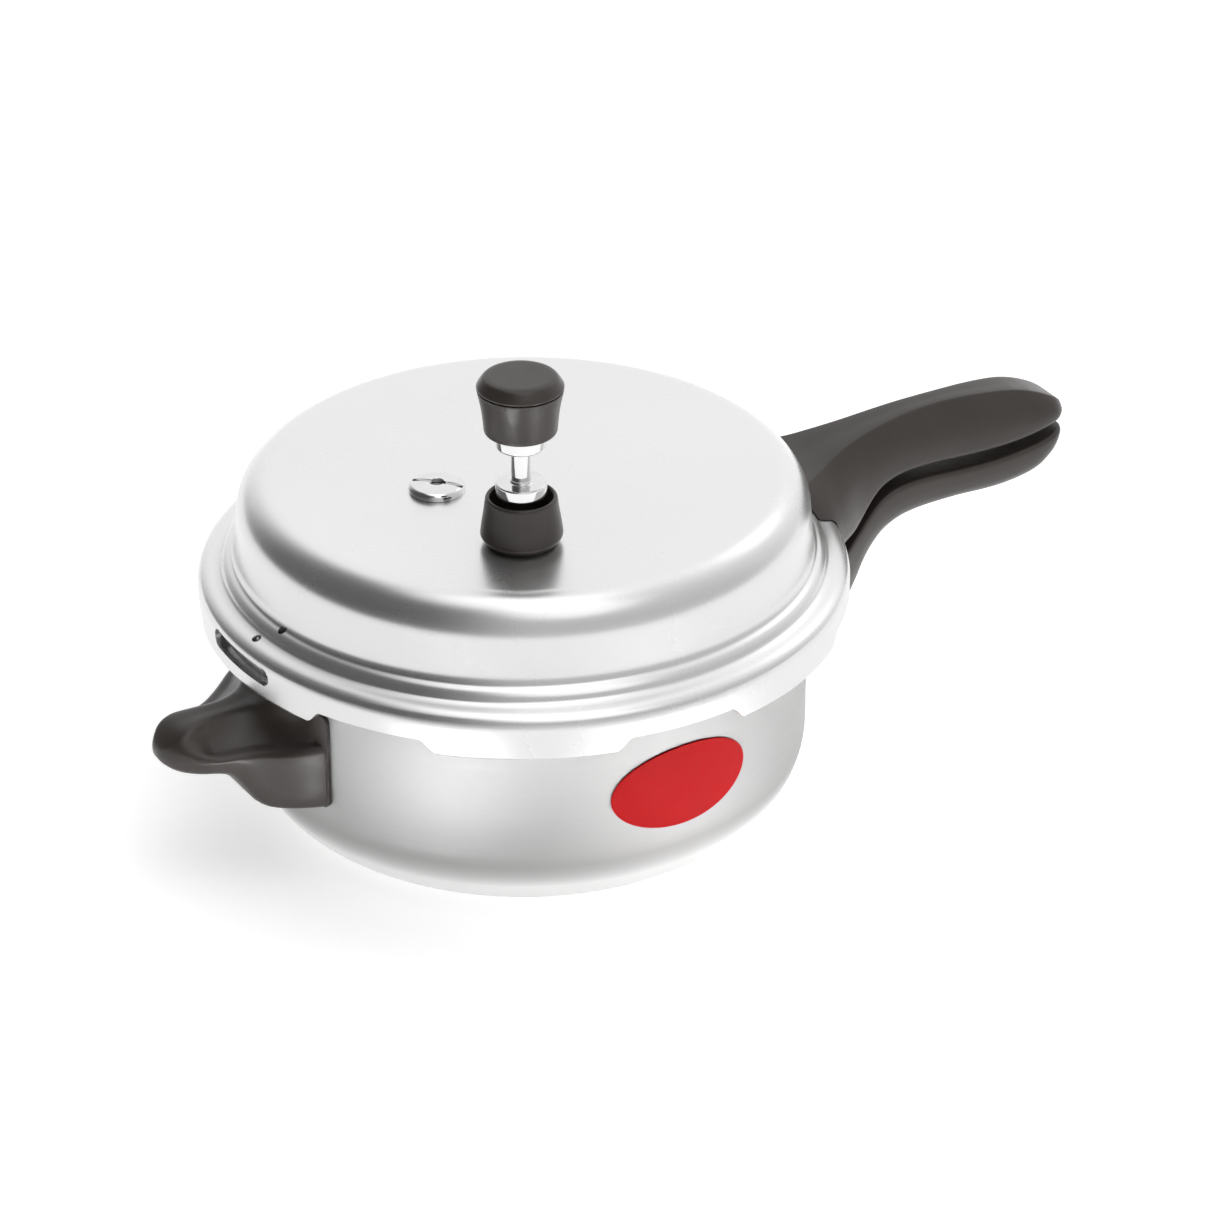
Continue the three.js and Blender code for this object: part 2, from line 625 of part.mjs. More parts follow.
const ventTube = turned([
  [1.1, 128],
  [4.1, 128],
  [4.1, DOME_TOP + GAP],
  [7.4, DOME_TOP + GAP],
  [7.4, DOME_TOP + 1.8],
  [6.2, DOME_TOP + 2.6],
  [3.2, DOME_TOP + 2.6],
  [3.2, WEIGHT_FOOT + 15.8],
  [1.7, WEIGHT_FOOT + 17.9],
  [1.1, WEIGHT_FOOT + 17.9],
], SMALL_STEPS);
add("vent_tube", onVent(ventTube), chrome());
const washer = (r0, r1, thickness) => turned([
  [r0, LID_UNDER - thickness],
  [r1, LID_UNDER - thickness],
  [r1, LID_UNDER],
  [r0, LID_UNDER],
], SMALL_STEPS);
add("vent_washer", onVent(washer(4.5, 8.4, 1.4)), steel());
const ventNut = hexagon(8.4, LID_UNDER - 6, LID_UNDER - 1.75).subtract(drill(0, 0, 4.5, 120, 150));
add("vent_nut", onVent(ventNut), steel());

// ---------- safety valve with a fusible core ----------

let valveBody = turned([
  [2.8, 129],
  [7, 129],
  [7, DOME_TOP + GAP],
  [VALVE_R, DOME_TOP + GAP],
  [VALVE_R, DOME_TOP + 1.4],
  [VALVE_R - 1.1, DOME_TOP + 2.6],
  [VALVE_R - 3.4, DOME_TOP + 3.2],
  [2.8, DOME_TOP + 3.4],
], 20);
const VALVE_SLOT_ANGLE = -44.5;
const valveSlot = raised([[-20, -1.1], [20, -1.1], [20, 1.1], [-20, 1.1]], DOME_TOP + 2, DOME_TOP + 5);
valveBody = valveBody.subtract(valveSlot.rotate([0, 0, VALVE_SLOT_ANGLE]));
add("valve_body", onValve(valveBody), chrome());
add("valve_plug", drill(VALVE_X, VALVE_Y, 2.45, 129.6, DOME_TOP + 1.8), fusible());
add("valve_washer", onValve(washer(7.4, 11, 1.6)), rubber());
const valveNut = hexagon(11.8, LID_UNDER - 6.6, LID_UNDER - 1.95).subtract(drill(0, 0, 7.4, 120, 150));
add("valve_nut", onValve(valveNut), steel());

// ---------- weight ----------

// Profiles here use heights above the weight's lower edge.
function weightPiece(profile, steps = 20) {
  return turned(profile.map(([r, z]) => [r, z + WEIGHT_FOOT]), steps).translate([WEIGHT_X, WEIGHT_Y, 0]);
}

const COLLAR_BOTTOM = 40;
const KNOB_BOTTOM = 46.5;
const KNOB_TOP = 64.5;
const CAP_TOP = 70;

add(
  "weight_body",
  weightPiece([
    [3.6, 3.6],
    [5.8, 3.6],
    [5.8, 10],
    [8.2, 10],
    [8.2, 20.4],
    [9.4, 20.4],
    [9.9, 20.9],
    [9.9, 24.9],
    [9.3, 25.5],
    [4.5, 25.5],
    [3.8, 26.3],
    [3.8, COLLAR_BOTTOM - 0.8],
    [4.6, COLLAR_BOTTOM],
    [9, COLLAR_BOTTOM + 0.2],
    [9.5, COLLAR_BOTTOM + 0.8],
    [9.5, KNOB_BOTTOM - GAP],
    [5, KNOB_BOTTOM - GAP],
    [5, 54.6],
    [0, 54.6],
    [0, 21],
    [3.6, 16.6],
  ]).subtract(drill(WEIGHT_X, WEIGHT_Y, SCREW_R + GAP, WEIGHT_FOOT + 46, WEIGHT_FOOT + 56)),
  chrome(),
);
add(
  "weight_skirt",
  weightPiece([
    [8.9, 0],
    [13.4, 0],
    [16, 3.2],
    [15.4, 8],
    [14.4, 14],
    [13.8, 18.8],
    [13.4, 19.5],
    [12.4, 19.5],
    [12, 18.8],
    [12, 9.7],
    [6.1, 9.7],
    [6.1, 5.4],
    [8.9, 5.4],
  ]),
  bakelite(),
);
add("weight_retainer", weightPiece([[6.1, 3.9], [8.4, 3.9], [8.4, 5.1], [6.1, 5.1]], SMALL_STEPS), steel());
add(
  "weight_knob",
  weightPiece([
    [5.3, KNOB_BOTTOM],
    [13.2, KNOB_BOTTOM],
    [14, KNOB_BOTTOM + 0.8],
    [14.3, 51.6],
    [15, 57.4],
    [16.3, KNOB_TOP - 1.2],
    [16.5, KNOB_TOP],
    [SCREW_HEAD_R + GAP, KNOB_TOP],
    [SCREW_HEAD_R + GAP, 60],
    [SCREW_R + GAP, 60],
    [SCREW_R + GAP, 55],
    [5.3, 55],
  ]),
  bakelite(),
);
const capScrew = screw(0, 0, 0, 13).rotate([180, 0, 0]);
add("weight_screw", capScrew.translate([WEIGHT_X, WEIGHT_Y, WEIGHT_FOOT + 60 + GAP + SCREW_HEAD]), steel());
add(
  "weight_cap",
  weightPiece([
    [0, KNOB_TOP + GAP],
    [16.5, KNOB_TOP + GAP],
    [16.7, KNOB_TOP + 1],
    [16.1, KNOB_TOP + 2],
    [14.2, CAP_TOP - 0.6],
    [13, CAP_TOP],
    [0, CAP_TOP],
  ]),
  bakelite(),
);

export default group;
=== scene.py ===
# Looks for the stovetop pressure cooker: smooth versions of its pieces, their materials, and a plain studio.
# Lengths are in millimetres until a mesh is made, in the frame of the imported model: the origin is the centre
# of the pan's base, +X runs along the long handle and +Z is up. Angles are in degrees.

import math

import bmesh
import bpy
from mathutils import Matrix, Vector


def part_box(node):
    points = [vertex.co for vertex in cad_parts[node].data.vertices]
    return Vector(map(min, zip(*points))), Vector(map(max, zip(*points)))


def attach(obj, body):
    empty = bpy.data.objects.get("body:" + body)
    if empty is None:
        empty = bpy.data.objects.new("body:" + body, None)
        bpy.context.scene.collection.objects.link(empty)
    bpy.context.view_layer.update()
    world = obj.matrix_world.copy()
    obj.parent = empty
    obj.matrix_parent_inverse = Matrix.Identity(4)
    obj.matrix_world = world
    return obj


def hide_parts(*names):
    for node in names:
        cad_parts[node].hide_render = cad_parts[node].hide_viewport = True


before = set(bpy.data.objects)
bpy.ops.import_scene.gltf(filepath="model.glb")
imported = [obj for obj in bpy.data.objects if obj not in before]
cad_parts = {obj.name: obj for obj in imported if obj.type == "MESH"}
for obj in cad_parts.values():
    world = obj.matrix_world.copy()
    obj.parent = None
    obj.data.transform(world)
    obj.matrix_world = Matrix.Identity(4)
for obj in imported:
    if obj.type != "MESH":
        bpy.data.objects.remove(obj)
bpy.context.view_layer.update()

MM = 0.001
GAP = 0.35
SMOOTH_ANGLE = math.radians(32)
SMALL_STEPS = 48


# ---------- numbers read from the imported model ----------


def lowest(node):
    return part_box(node)[0] / MM


def highest(node):
    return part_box(node)[1] / MM


def centre(node):
    return (lowest(node) + highest(node)) / 2


RIM_TOP = highest("pan_body").z
SKIRT_R = highest("lid_shell").x
SKIRT_BOTTOM = lowest("lid_shell").z
DOME_TOP = highest("lid_shell").z
HANDLE_END = highest("upper_handle").x
HELPER_END = -lowest("helper_handle").x
WEIGHT = centre("weight_skirt")
WEIGHT_FOOT = lowest("weight_skirt").z
CAP_TOP = highest("weight_cap").z
VALVE = centre("valve_body")

PAN_R = 113
PAN_WALL = 2.8
PAN_BASE = 4.2
PAN_CORNER = 32
RIM_R = 119.4
LUG_R = 125
LUG_BOTTOM = 90.8
LUG_ARC = 18
DOME_R = 113.5
DOME_SHOULDER = 16
DOME_EDGE_TOP = DOME_TOP - 1.2
LID_SHEET = 2.3
SKIRT_IN = SKIRT_R - LID_SHEET
NOTCH_TOP = 91.4
NOTCH_ARC = 22
LIP_IN = 120.9
UNLOCK_TURN = 26.35
NOTCH_ANGLES = [-145.5, -90, -37.3, 37.3, 90, 153.5]


# ---------- meshes ----------


def point_at(radius, angle, height):
    return (radius * math.cos(math.radians(angle)), radius * math.sin(math.radians(angle)), height)


def smooth_step(value, low, high):
    t = min(1, max(0, (value - low) / (high - low)))
    return t * t * (3 - 2 * t)


def mesh_object(name, points, faces):
    mesh = bpy.data.meshes.new(name)
    mesh.from_pydata([Vector(point) * MM for point in points], [], faces)
    skin = bmesh.new()
    skin.from_mesh(mesh)
    bmesh.ops.recalc_face_normals(skin, faces=skin.faces)
    skin.to_mesh(mesh)
    skin.free()
    piece = bpy.data.objects.new(name, mesh)
    bpy.context.scene.collection.objects.link(piece)
    return piece


def applied(piece, modifier_type, **settings):
    """Adds a modifier, keeps its result as the piece's own mesh, and leaves no modifier behind."""
    modifier = piece.modifiers.new("step", modifier_type)
    for key, value in settings.items():
        setattr(modifier, key, value)
    graph = bpy.context.evaluated_depsgraph_get()
    graph.update()
    result = bpy.data.meshes.new_from_object(piece.evaluated_get(graph))
    piece.modifiers.clear()
    old = piece.data
    piece.data = result
    bpy.data.meshes.remove(old)


def cut(piece, *cutters, operation="DIFFERENCE"):
    """Takes each cutter away from a piece, or joins or intersects them, and uses the cutters up."""
    for cutter in cutters:
        applied(piece, "BOOLEAN", operation=operation, object=cutter, solver="EXACT")
        bpy.data.objects.remove(cutter)


def moved(piece, x=0, y=0, z=0, tilt=0, turn=0):
    """Tilts a piece about Y, turns it about Z and then shifts it, all inside its mesh."""
    tilting = Matrix.Rotation(math.radians(tilt), 4, "Y")
    turning = Matrix.Rotation(math.radians(turn), 4, "Z")
    piece.data.transform(Matrix.Translation(Vector((x, y, z)) * MM) @ turning @ tilting)
    return piece


def rounded(corners, closed=True, steps=4):
    """Points of an outline whose corners are (a, b) when sharp, or (a, b, size) when rounded off."""
    points = []
    for i, corner in enumerate(corners):
        here = Vector(corner[:2])
        ends = not closed and i in (0, len(corners) - 1)
        if len(corner) == 2 or ends:
            points.append(tuple(here))
            continue
        before = Vector(corners[i - 1][:2]) - here
        after = Vector(corners[(i + 1) % len(corners)][:2]) - here
        start = here + before.normalized() * min(corner[2], before.length * 0.48)
        end = here + after.normalized() * min(corner[2], after.length * 0.48)
        for k in range(steps + 1):
            t = k / steps
            points.append(tuple(start * (1 - t) ** 2 + here * 2 * t * (1 - t) + end * t * t))
    return points


def arc(radius, centre_r, centre_z, start, end, count):
    angles = [math.radians(start + (end - start) * i / count) for i in range(count + 1)]
    return [(centre_r + radius * math.cos(a), centre_z + radius * math.sin(a)) for a in angles]


def even_angles(count):
    return [360 * i / count for i in range(count)]


def turned(name, profile_at, angles):
    """A closed skin through profiles of (radius, height) pairs set round the Z axis."""
    if not callable(profile_at):
        fixed = profile_at
        return turned(name, lambda angle: fixed, angles)
    points = []
    columns = []
    for angle in angles:
        column = []
        for k, (radius, height) in enumerate(profile_at(angle)):
            if radius < 1e-6 and columns:
                column.append(columns[0][k])
            else:
                column.append(len(points))
                points.append(point_at(radius, angle, height))
        columns.append(column)
    first = profile_at(angles[0])
    spans = len(first) - 1 if first[0][0] < 1e-6 else len(first)
    faces = []
    for i, column in enumerate(columns):
        other = columns[(i + 1) % len(columns)]
        for k in range(spans):
            following = (k + 1) % len(column)
            ring = [column[k], other[k], other[following], column[following]]
            face = [corner for n, corner in enumerate(ring) if corner not in ring[:n]]
            if len(face) > 2:
                faces.append(face)
    return mesh_object(name, points, faces)


def skin_through(name, rings, tip=None):
    """A closed skin through rings of as many points each. The first ring is closed flat, and the last one is
    closed flat or to a tip."""
    size = len(rings[0])
    points = [point for ring in rings for point in ring]
    faces = [list(range(size))]
    for i in range(len(rings) - 1):
        for k in range(size):
            other = (k + 1) % size
            faces.append([i * size + k, i * size + other, (i + 1) * size + other, (i + 1) * size + k])
    last = (len(rings) - 1) * size
    if tip is None:
        faces.append(list(range(last, last + size)))
    else:
        points.append(tip)
        faces += [[last + k, last + (k + 1) % size, len(points) - 1] for k in range(size)]
    return mesh_object(name, points, faces)


def prism(name, outline, low, high):
    """An outline of (x, y) pairs raised from low to high."""
    return skin_through(name, [[(x, y, low) for x, y in outline], [(x, y, high) for x, y in outline]])


def side_prism(name, outline, width):
    """An outline of (x, z) pairs given a width centred on y = 0."""
    rings = [[(x, side * width / 2, z) for x, z in outline] for side in (-1, 1)]
    return skin_through(name, rings)


def bent_block(name, middle, block_arc, low, high, inner, outer, corner=0):
    """A block bent round the Z axis, with its four corners rounded as seen along the radius."""
    millimetre = math.degrees(1 / outer)
    half = block_arc / 2
    flat = half - corner * millimetre
    count = max(4, math.ceil(2 * flat / 1.5))
    spans = [(-flat + 2 * flat * i / count, 0) for i in range(count + 1)]
    if corner:
        turns = [math.radians(4 + 86 * i / 9) for i in range(9)]
        end = [(half - corner * (1 - math.cos(t)) * millimetre, corner * (1 - math.sin(t))) for t in turns]
        spans = [(-angle, inset) for angle, inset in end] + spans + end[::-1]
    rings = []
    for angle, inset in spans:
        sides = ((inner, low + inset), (outer, low + inset), (outer, high - inset), (inner, high - inset))
        rings.append([point_at(radius, middle + angle, height) for radius, height in sides])
    return skin_through(name, rings)


def strip(name, line, thickness, width, reach=0):
    """A strip along a bent centre line of (x, z) pairs, which goes on past the line's end by its reach."""
    points = [Vector(point) for point in line]
    points[-1] += (points[-1] - points[-2]).normalized() * reach
    sides = [[], []]
    for i, point in enumerate(points):
        along = points[min(i + 1, len(points) - 1)] - points[max(i - 1, 0)]
        across = Vector((along.y, -along.x)).normalized() * thickness / 2
        sides[0].append(tuple(point + across))
        sides[1].insert(0, tuple(point - across))
    return side_prism(name, sides[0] + sides[1], width)


def drill(radius, low, high, x=0, y=0):
    profile = [(0, low), (radius, low), (radius, high), (0, high)]
    return moved(turned("drill", profile, even_angles(SMALL_STEPS)), x, y)


def radial_drill(angle, height, radius, inner, outer):
    return moved(drill(radius, inner, outer), z=height, tilt=90, turn=angle)


def curve_through(pairs):
    """A smooth curve through (x, value) pairs, read at any x."""

    def slope(k):
        a, b = pairs[max(0, k - 1)], pairs[min(len(pairs) - 1, k + 1)]
        return (b[1] - a[1]) / (b[0] - a[0])

    def value(x):
        if x <= pairs[0][0]:
            return pairs[0][1]
        if x >= pairs[-1][0]:
            return pairs[-1][1]
        i = next(k for k in range(len(pairs)) if pairs[k][0] > x) - 1
        (x0, y0), (x1, y1) = pairs[i], pairs[i + 1]
        span = x1 - x0
        t = (x - x0) / span
        return (
            (2 * t**3 - 3 * t**2 + 1) * y0
            + (t**3 - 2 * t**2 + t) * span * slope(i)
            + (3 * t**2 - 2 * t**3) * y1
            + (t**3 - t**2) * span * slope(i + 1)
        )

    return value


def smooth_loop(points, steps=5):
    """A closed curve through points, with more points between them."""
    loop = []
    count = len(points)
    for i in range(count):
        a, b, c, d = (Vector(points[(i + k) % count]) for k in (-1, 0, 1, 2))
        span = (c - b).length
        lead = (c - a) * span / ((b - a).length + span)
        trail = (d - b) * span / ((d - c).length + span)
        for k in range(steps):
            t = k / steps
            place = b * (2 * t**3 - 3 * t**2 + 1) + lead * (t**3 - 2 * t**2 + t)
            place += c * (3 * t**2 - 2 * t**3) + trail * (t**3 - t**2)
            loop.append(tuple(place))
    return loop


def handle_skin(name, start, end, half, shrink, tip_z):
    """A handle through sections across X. half(x) lists the right half of a section, and near the end
    sections shrink towards the height tip_z by the factor shrink(x)."""
    nose, spacing, nose_steps = 18, 2.2, 20
    count = int((end - nose - start) / spacing)
    stations = [start + (end - nose - start) * i / count for i in range(count)]
    stations += [end - nose * math.cos(math.pi / 2 * i / nose_steps) ** 1.6 for i in range(nose_steps + 1)]
    rings = []
    for x in stations:
        right = half(x)
        left = [(-y, z) for y, z in reversed(right[1:-1])]
        factor = shrink(x)
        loop = smooth_loop(right + left)
        rings.append([(x, y * factor, tip_z + (z - tip_z) * factor) for y, z in loop])
    for factor in (0.75, 0.45, 0.2):
        rings.append([(x, y * factor, tip_z + (z - tip_z) * factor) for x, y, z in rings[len(stations) - 1]])
    return skin_through(name, rings, tip=(end, 0, tip_z))


# ---------- materials ----------

EVERYWHERE = 200


def vector_math(tree, operation, *operands):
    """A vector node in a node tree; each operand is a socket to read or a fixed vector."""
    node = tree.nodes.new("ShaderNodeVectorMath")
    node.operation = operation
    for socket, operand in zip(node.inputs, operands):
        if isinstance(operand, tuple):
            socket.default_value = operand
        else:
            tree.links.new(operand, socket)
    return node.outputs["Value" if operation in ("DOT_PRODUCT", "LENGTH") else "Vector"]


class Surface:
    """A material whose nodes vary the colour, gloss and fine relief of one finish."""

    def __init__(self, name, colour, metallic, roughness, **sockets):
        self.material = bpy.data.materials.new(name)
        self.material.use_nodes = True
        self.tree = self.material.node_tree
        self.nodes, self.links = self.tree.nodes, self.tree.links
        self.shader = self.nodes["Principled BSDF"]
        self.shader.inputs["Base Color"].default_value = (*colour, 1)
        self.shader.inputs["Metallic"].default_value = metallic
        self.shader.inputs["Roughness"].default_value = roughness
        for socket, value in sockets.items():
            self.shader.inputs[socket.replace("_", " ").title()].default_value = value
        self.place = self.nodes.new("ShaderNodeTexCoord").outputs["Object"]
        self.relief = None

    def stretched(self, scale):
        mapping = self.nodes.new("ShaderNodeMapping")
        mapping.inputs["Scale"].default_value = scale
        self.links.new(self.place, mapping.inputs["Vector"])
        return mapping.outputs["Vector"]

    def noise(self, scale, detail=4, stretch=(1, 1, 1)):
        noise = self.nodes.new("ShaderNodeTexNoise")
        noise.inputs["Scale"].default_value = scale
        noise.inputs["Detail"].default_value = detail
        self.links.new(self.stretched(stretch), noise.inputs["Vector"])
        return noise.outputs["Fac"]

    def rings(self, scale, distortion=0.4):
        wave = self.nodes.new("ShaderNodeTexWave")
        wave.wave_type = "RINGS"
        wave.rings_direction = "Z"
        wave.inputs["Scale"].default_value = scale
        wave.inputs["Distortion"].default_value = distortion
        wave.inputs["Detail"].default_value = 3
        self.links.new(self.place, wave.inputs["Vector"])
        return wave.outputs["Fac"]

    def spread(self, value, low, high, start=0.3, end=0.7):
        ranged = self.nodes.new("ShaderNodeMapRange")
        ranged.inputs["From Min"].default_value = start
        ranged.inputs["From Max"].default_value = end
        ranged.inputs["To Min"].default_value = low
        ranged.inputs["To Max"].default_value = high
        self.links.new(value, ranged.inputs["Value"])
        return ranged.outputs["Result"]

    def colours(self, value, dark, light, start=0.3, end=0.7):
        ramp = self.nodes.new("ShaderNodeValToRGB")
        ramp.color_ramp.elements[0].position = start
        ramp.color_ramp.elements[0].color = (*dark, 1)
        ramp.color_ramp.elements[1].position = end
        ramp.color_ramp.elements[1].color = (*light, 1)
        self.links.new(value, ramp.inputs["Fac"])
        self.links.new(ramp.outputs["Color"], self.shader.inputs["Base Color"])

    def outwards(self, reach=EVERYWHERE):
        """1 where the surface faces away from the Z axis, 0 where it faces up or down, -1 towards the axis.
        Beyond the reach in millimetres it is 0."""
        facing = self.nodes.new("ShaderNodeTexCoord").outputs["Normal"]
        sideways = vector_math(self.tree, "MULTIPLY", self.place, (1, 1, 0))
        away = vector_math(self.tree, "NORMALIZE", sideways)
        outwards = vector_math(self.tree, "DOT_PRODUCT", facing, away)
        radius = vector_math(self.tree, "LENGTH", sideways)
        within = self.nodes.new("ShaderNodeMath")
        within.operation = "MULTIPLY"
        self.links.new(outwards, within.inputs[0])
        self.links.new(self.spread(radius, 1, 0, reach * MM, (reach + 1) * MM), within.inputs[1])
        return within.outputs["Value"]

    def colour_beyond(self, value, start, end, colour):
        """Blends from the colour so far to another one as a value goes from start to end."""
        mix = self.nodes.new("ShaderNodeMixRGB")
        self.links.new(self.spread(value, 0, 1, start, end), mix.inputs["Fac"])
        self.links.new(self.shader.inputs["Base Color"].links[0].from_socket, mix.inputs["Color1"])
        mix.inputs["Color2"].default_value = (*colour, 1)
        self.links.new(mix.outputs["Color"], self.shader.inputs["Base Color"])

    def gloss(self, value, low, high, start=0.3, end=0.7):
        self.links.new(self.spread(value, low, high, start, end), self.shader.inputs["Roughness"])

    def bump(self, value, height):
        """Adds a relief of that height in millimetres."""
        bump = self.nodes.new("ShaderNodeBump")
        bump.inputs["Strength"].default_value = 1
        bump.inputs["Distance"].default_value = height * MM
        self.links.new(value, bump.inputs["Height"])
        if self.relief:
            self.links.new(self.relief, bump.inputs["Normal"])
        self.relief = bump.outputs["Normal"]
        self.links.new(self.relief, self.shader.inputs["Normal"])


def polished_aluminium(name):
    surface = Surface(name, (0.86, 0.86, 0.859), 0.92, 0.27)
    surface.colours(surface.noise(9), (0.85, 0.85, 0.849), (0.875, 0.875, 0.873))
    # Painted shade: surfaces that face outwards, the dome's wall and the skirt, are painted a darker grey than
    # the lid's top.
    surface.colour_beyond(surface.outwards(), 0.6, 0.9, (0.7, 0.7, 0.699))
    surface.gloss(surface.noise(24), 0.25, 0.29)
    surface.bump(surface.rings(260, 0.2), 0.0002)
    return surface.material


def satin_aluminium(name):
    """Spun metal, whose fine turning marks run round the Z axis and spread its reflections up and down."""
    surface = Surface(name, (0.41, 0.41, 0.408), 1, 0.46, anisotropic=0.88)
    tangent = surface.nodes.new("ShaderNodeTangent")
    tangent.direction_type = "RADIAL"
    tangent.axis = "Z"
    surface.links.new(tangent.outputs["Tangent"], surface.shader.inputs["Tangent"])
    surface.colours(surface.noise(7, 4, (1, 1, 0.6)), (0.4, 0.4, 0.398), (0.425, 0.425, 0.423))
    # Painted reflection: the colour is painted much lighter everywhere except the outward-facing wall within
    # the pan's radius, so the rounded base corner and the rim read brighter.
    surface.colour_beyond(surface.outwards(PAN_R + 1), 0.99, 0.88, (0.86, 0.86, 0.857))
    marks = surface.noise(900, 3, (0.01, 0.01, 1))
    surface.gloss(marks, 0.43, 0.49)
    return surface.material


def moulded_bakelite(name):
    surface = Surface(name, (0.0365, 0.0295, 0.0262), 0, 0.32)
    surface.colours(surface.noise(45, 6), (0.0335, 0.0268, 0.0237), (0.0395, 0.0322, 0.0287))
    surface.gloss(surface.noise(160), 0.28, 0.36)
    surface.bump(surface.noise(900, 3), 0.003)
    return surface.material


def bright_chrome(name):
    surface = Surface(name, (0.8, 0.8, 0.8), 1, 0.05)
    surface.colours(surface.noise(120), (0.77, 0.77, 0.77), (0.82, 0.82, 0.82))
    surface.gloss(surface.noise(260), 0.035, 0.09)
    surface.bump(surface.noise(1400, 2), 0.0006)
    return surface.material


def plated_steel(name):
    surface = Surface(name, (0.55, 0.55, 0.56), 1, 0.3)
    surface.colours(surface.noise(140, 6), (0.48, 0.48, 0.49), (0.62, 0.62, 0.625))
    surface.gloss(surface.noise(420), 0.24, 0.42)
    surface.bump(surface.noise(1800, 3, (1, 1, 0.15)), 0.003)
    return surface.material


def soft_rubber(name):
    surface = Surface(name, (0.014, 0.014, 0.0145), 0, 0.7)
    surface.colours(surface.noise(80, 6), (0.011, 0.011, 0.0115), (0.02, 0.02, 0.0205))
    surface.gloss(surface.noise(500), 0.58, 0.78)
    surface.bump(surface.noise(2600, 3), 0.006)
    return surface.material


def cast_alloy(name):
    surface = Surface(name, (0.34, 0.34, 0.35), 1, 0.5)
    surface.colours(surface.noise(400, 6), (0.27, 0.27, 0.28), (0.42, 0.42, 0.43))
    surface.gloss(surface.noise(900), 0.42, 0.62)
    surface.bump(surface.noise(1200), 0.02)
    return surface.material


def red_film(name):
    surface = Surface(name, (0.48, 0.004, 0.006), 0, 0.45)
    surface.colours(surface.noise(40, 5), (0.465, 0.0037, 0.0056), (0.495, 0.0043, 0.0064))
    surface.gloss(surface.noise(120), 0.4, 0.5)
    surface.shader.inputs["Specular IOR Level"].default_value = 0.1
    return surface.material


FINISHES = {
    "pan_aluminium": satin_aluminium("pan aluminium"),
    "lid_aluminium": polished_aluminium("lid aluminium"),
    "rivet_aluminium": satin_aluminium("rivet aluminium"),
    "bakelite": moulded_bakelite("bakelite"),
    "chrome": bright_chrome("chrome"),
    "steel": plated_steel("plated steel"),
    "rubber": soft_rubber("rubber"),
    "fusible_alloy": cast_alloy("fusible alloy"),
    "label": red_film("red film"),
}


def finished(piece, body, slot, *nodes):
    """Gives a piece its smooth shading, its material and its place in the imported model."""
    mesh = piece.data
    mesh.polygons.foreach_set("use_smooth", [True] * len(mesh.polygons))
    mesh.set_sharp_from_angle(angle=SMOOTH_ANGLE)
    mesh.materials.clear()
    mesh.materials.append(FINISHES[slot])
    normals = piece.modifiers.new("even normals", "WEIGHTED_NORMAL")
    normals.keep_sharp = True
    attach(piece, body)
    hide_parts(*nodes)


# ---------- pan ----------

PLATE_IN = PAN_R + GAP
PLATE_OUT = PLATE_IN + 2
RIVET_HEAD_ROOM = 2.2
TONGUE_WIDTH = 12
TONGUE_SHEET = 2.2
PAN_RIVET_ARC = 5.6
PAN_RIVET_R = 2.2
LOWER_RIVET_Z = 54
HELPER_RIVET_Z = 57
INNER_R = PAN_R - PAN_WALL
THROUGH_WALL = (100, 120)


def angles_with(edges, half_width, count=240, extra=10):
    """Angles evenly round the axis, and closer together near some edges."""
    angles = set(round(a, 3) for a in even_angles(count))
    for edge in edges:
        for i in range(extra + 1):
            angles.add(round((edge - half_width + 2 * half_width * i / extra) % 360, 3))
    ordered = sorted(angles)
    return [a for i, a in enumerate(ordered) if i == 0 or a - ordered[i - 1] > 0.05]


def away_from(angle, other):
    return abs((angle - other + 180) % 360 - 180)


LUG_ANGLES = [angle + UNLOCK_TURN for angle in NOTCH_ANGLES]
LUG_END = 0.9


def lug_share(angle):
    """1 on a lug, 0 between lugs, with a rounded end between."""
    nearest = min(away_from(angle, lug) for lug in LUG_ANGLES)
    return 1 - smooth_step(nearest, LUG_ARC / 2 - LUG_END, LUG_ARC / 2 + LUG_END)


def pan_profile(angle):
    rim = RIM_R + (LUG_R - RIM_R) * lug_share(angle)
    outside = rounded(
        [
            (PAN_R, PAN_CORNER), (PAN_R, 86.6, 2.2), (114.6, 89.6, 1.4), (117.2, LUG_BOTTOM, 1.2),
            (rim, LUG_BOTTOM, 1.1), (rim, RIM_TOP, 1.6), (111.4, RIM_TOP, 1), (INNER_R, 94.6, 0.9),
            (INNER_R, PAN_CORNER + 4),
        ],
        closed=False,
    )
    return (
        [(0, 0), (40, 0), (76, 0)]
        + arc(PAN_CORNER, PAN_R - PAN_CORNER, PAN_CORNER, -90, -3, 22)
        + outside
        + arc(PAN_CORNER - PAN_WALL, PAN_R - PAN_CORNER, PAN_CORNER - PAN_WALL + PAN_BASE, 0, -90, 18)
        + [(76, PAN_BASE), (40, PAN_BASE), (0, PAN_BASE)]
    )


lug_edges = [lug + side * LUG_ARC / 2 for lug in LUG_ANGLES for side in (-1, 1)]
pan = turned("pan", pan_profile, angles_with(lug_edges, 1.2))
for side in (-1, 1):
    cut(
        pan,
        radial_drill(side * PAN_RIVET_ARC, LOWER_RIVET_Z, PAN_RIVET_R + GAP, *THROUGH_WALL),
        radial_drill(180 + side * PAN_RIVET_ARC, HELPER_RIVET_Z, PAN_RIVET_R + GAP, *THROUGH_WALL),
    )
finished(pan, "pan", "pan_aluminium", "pan_body")


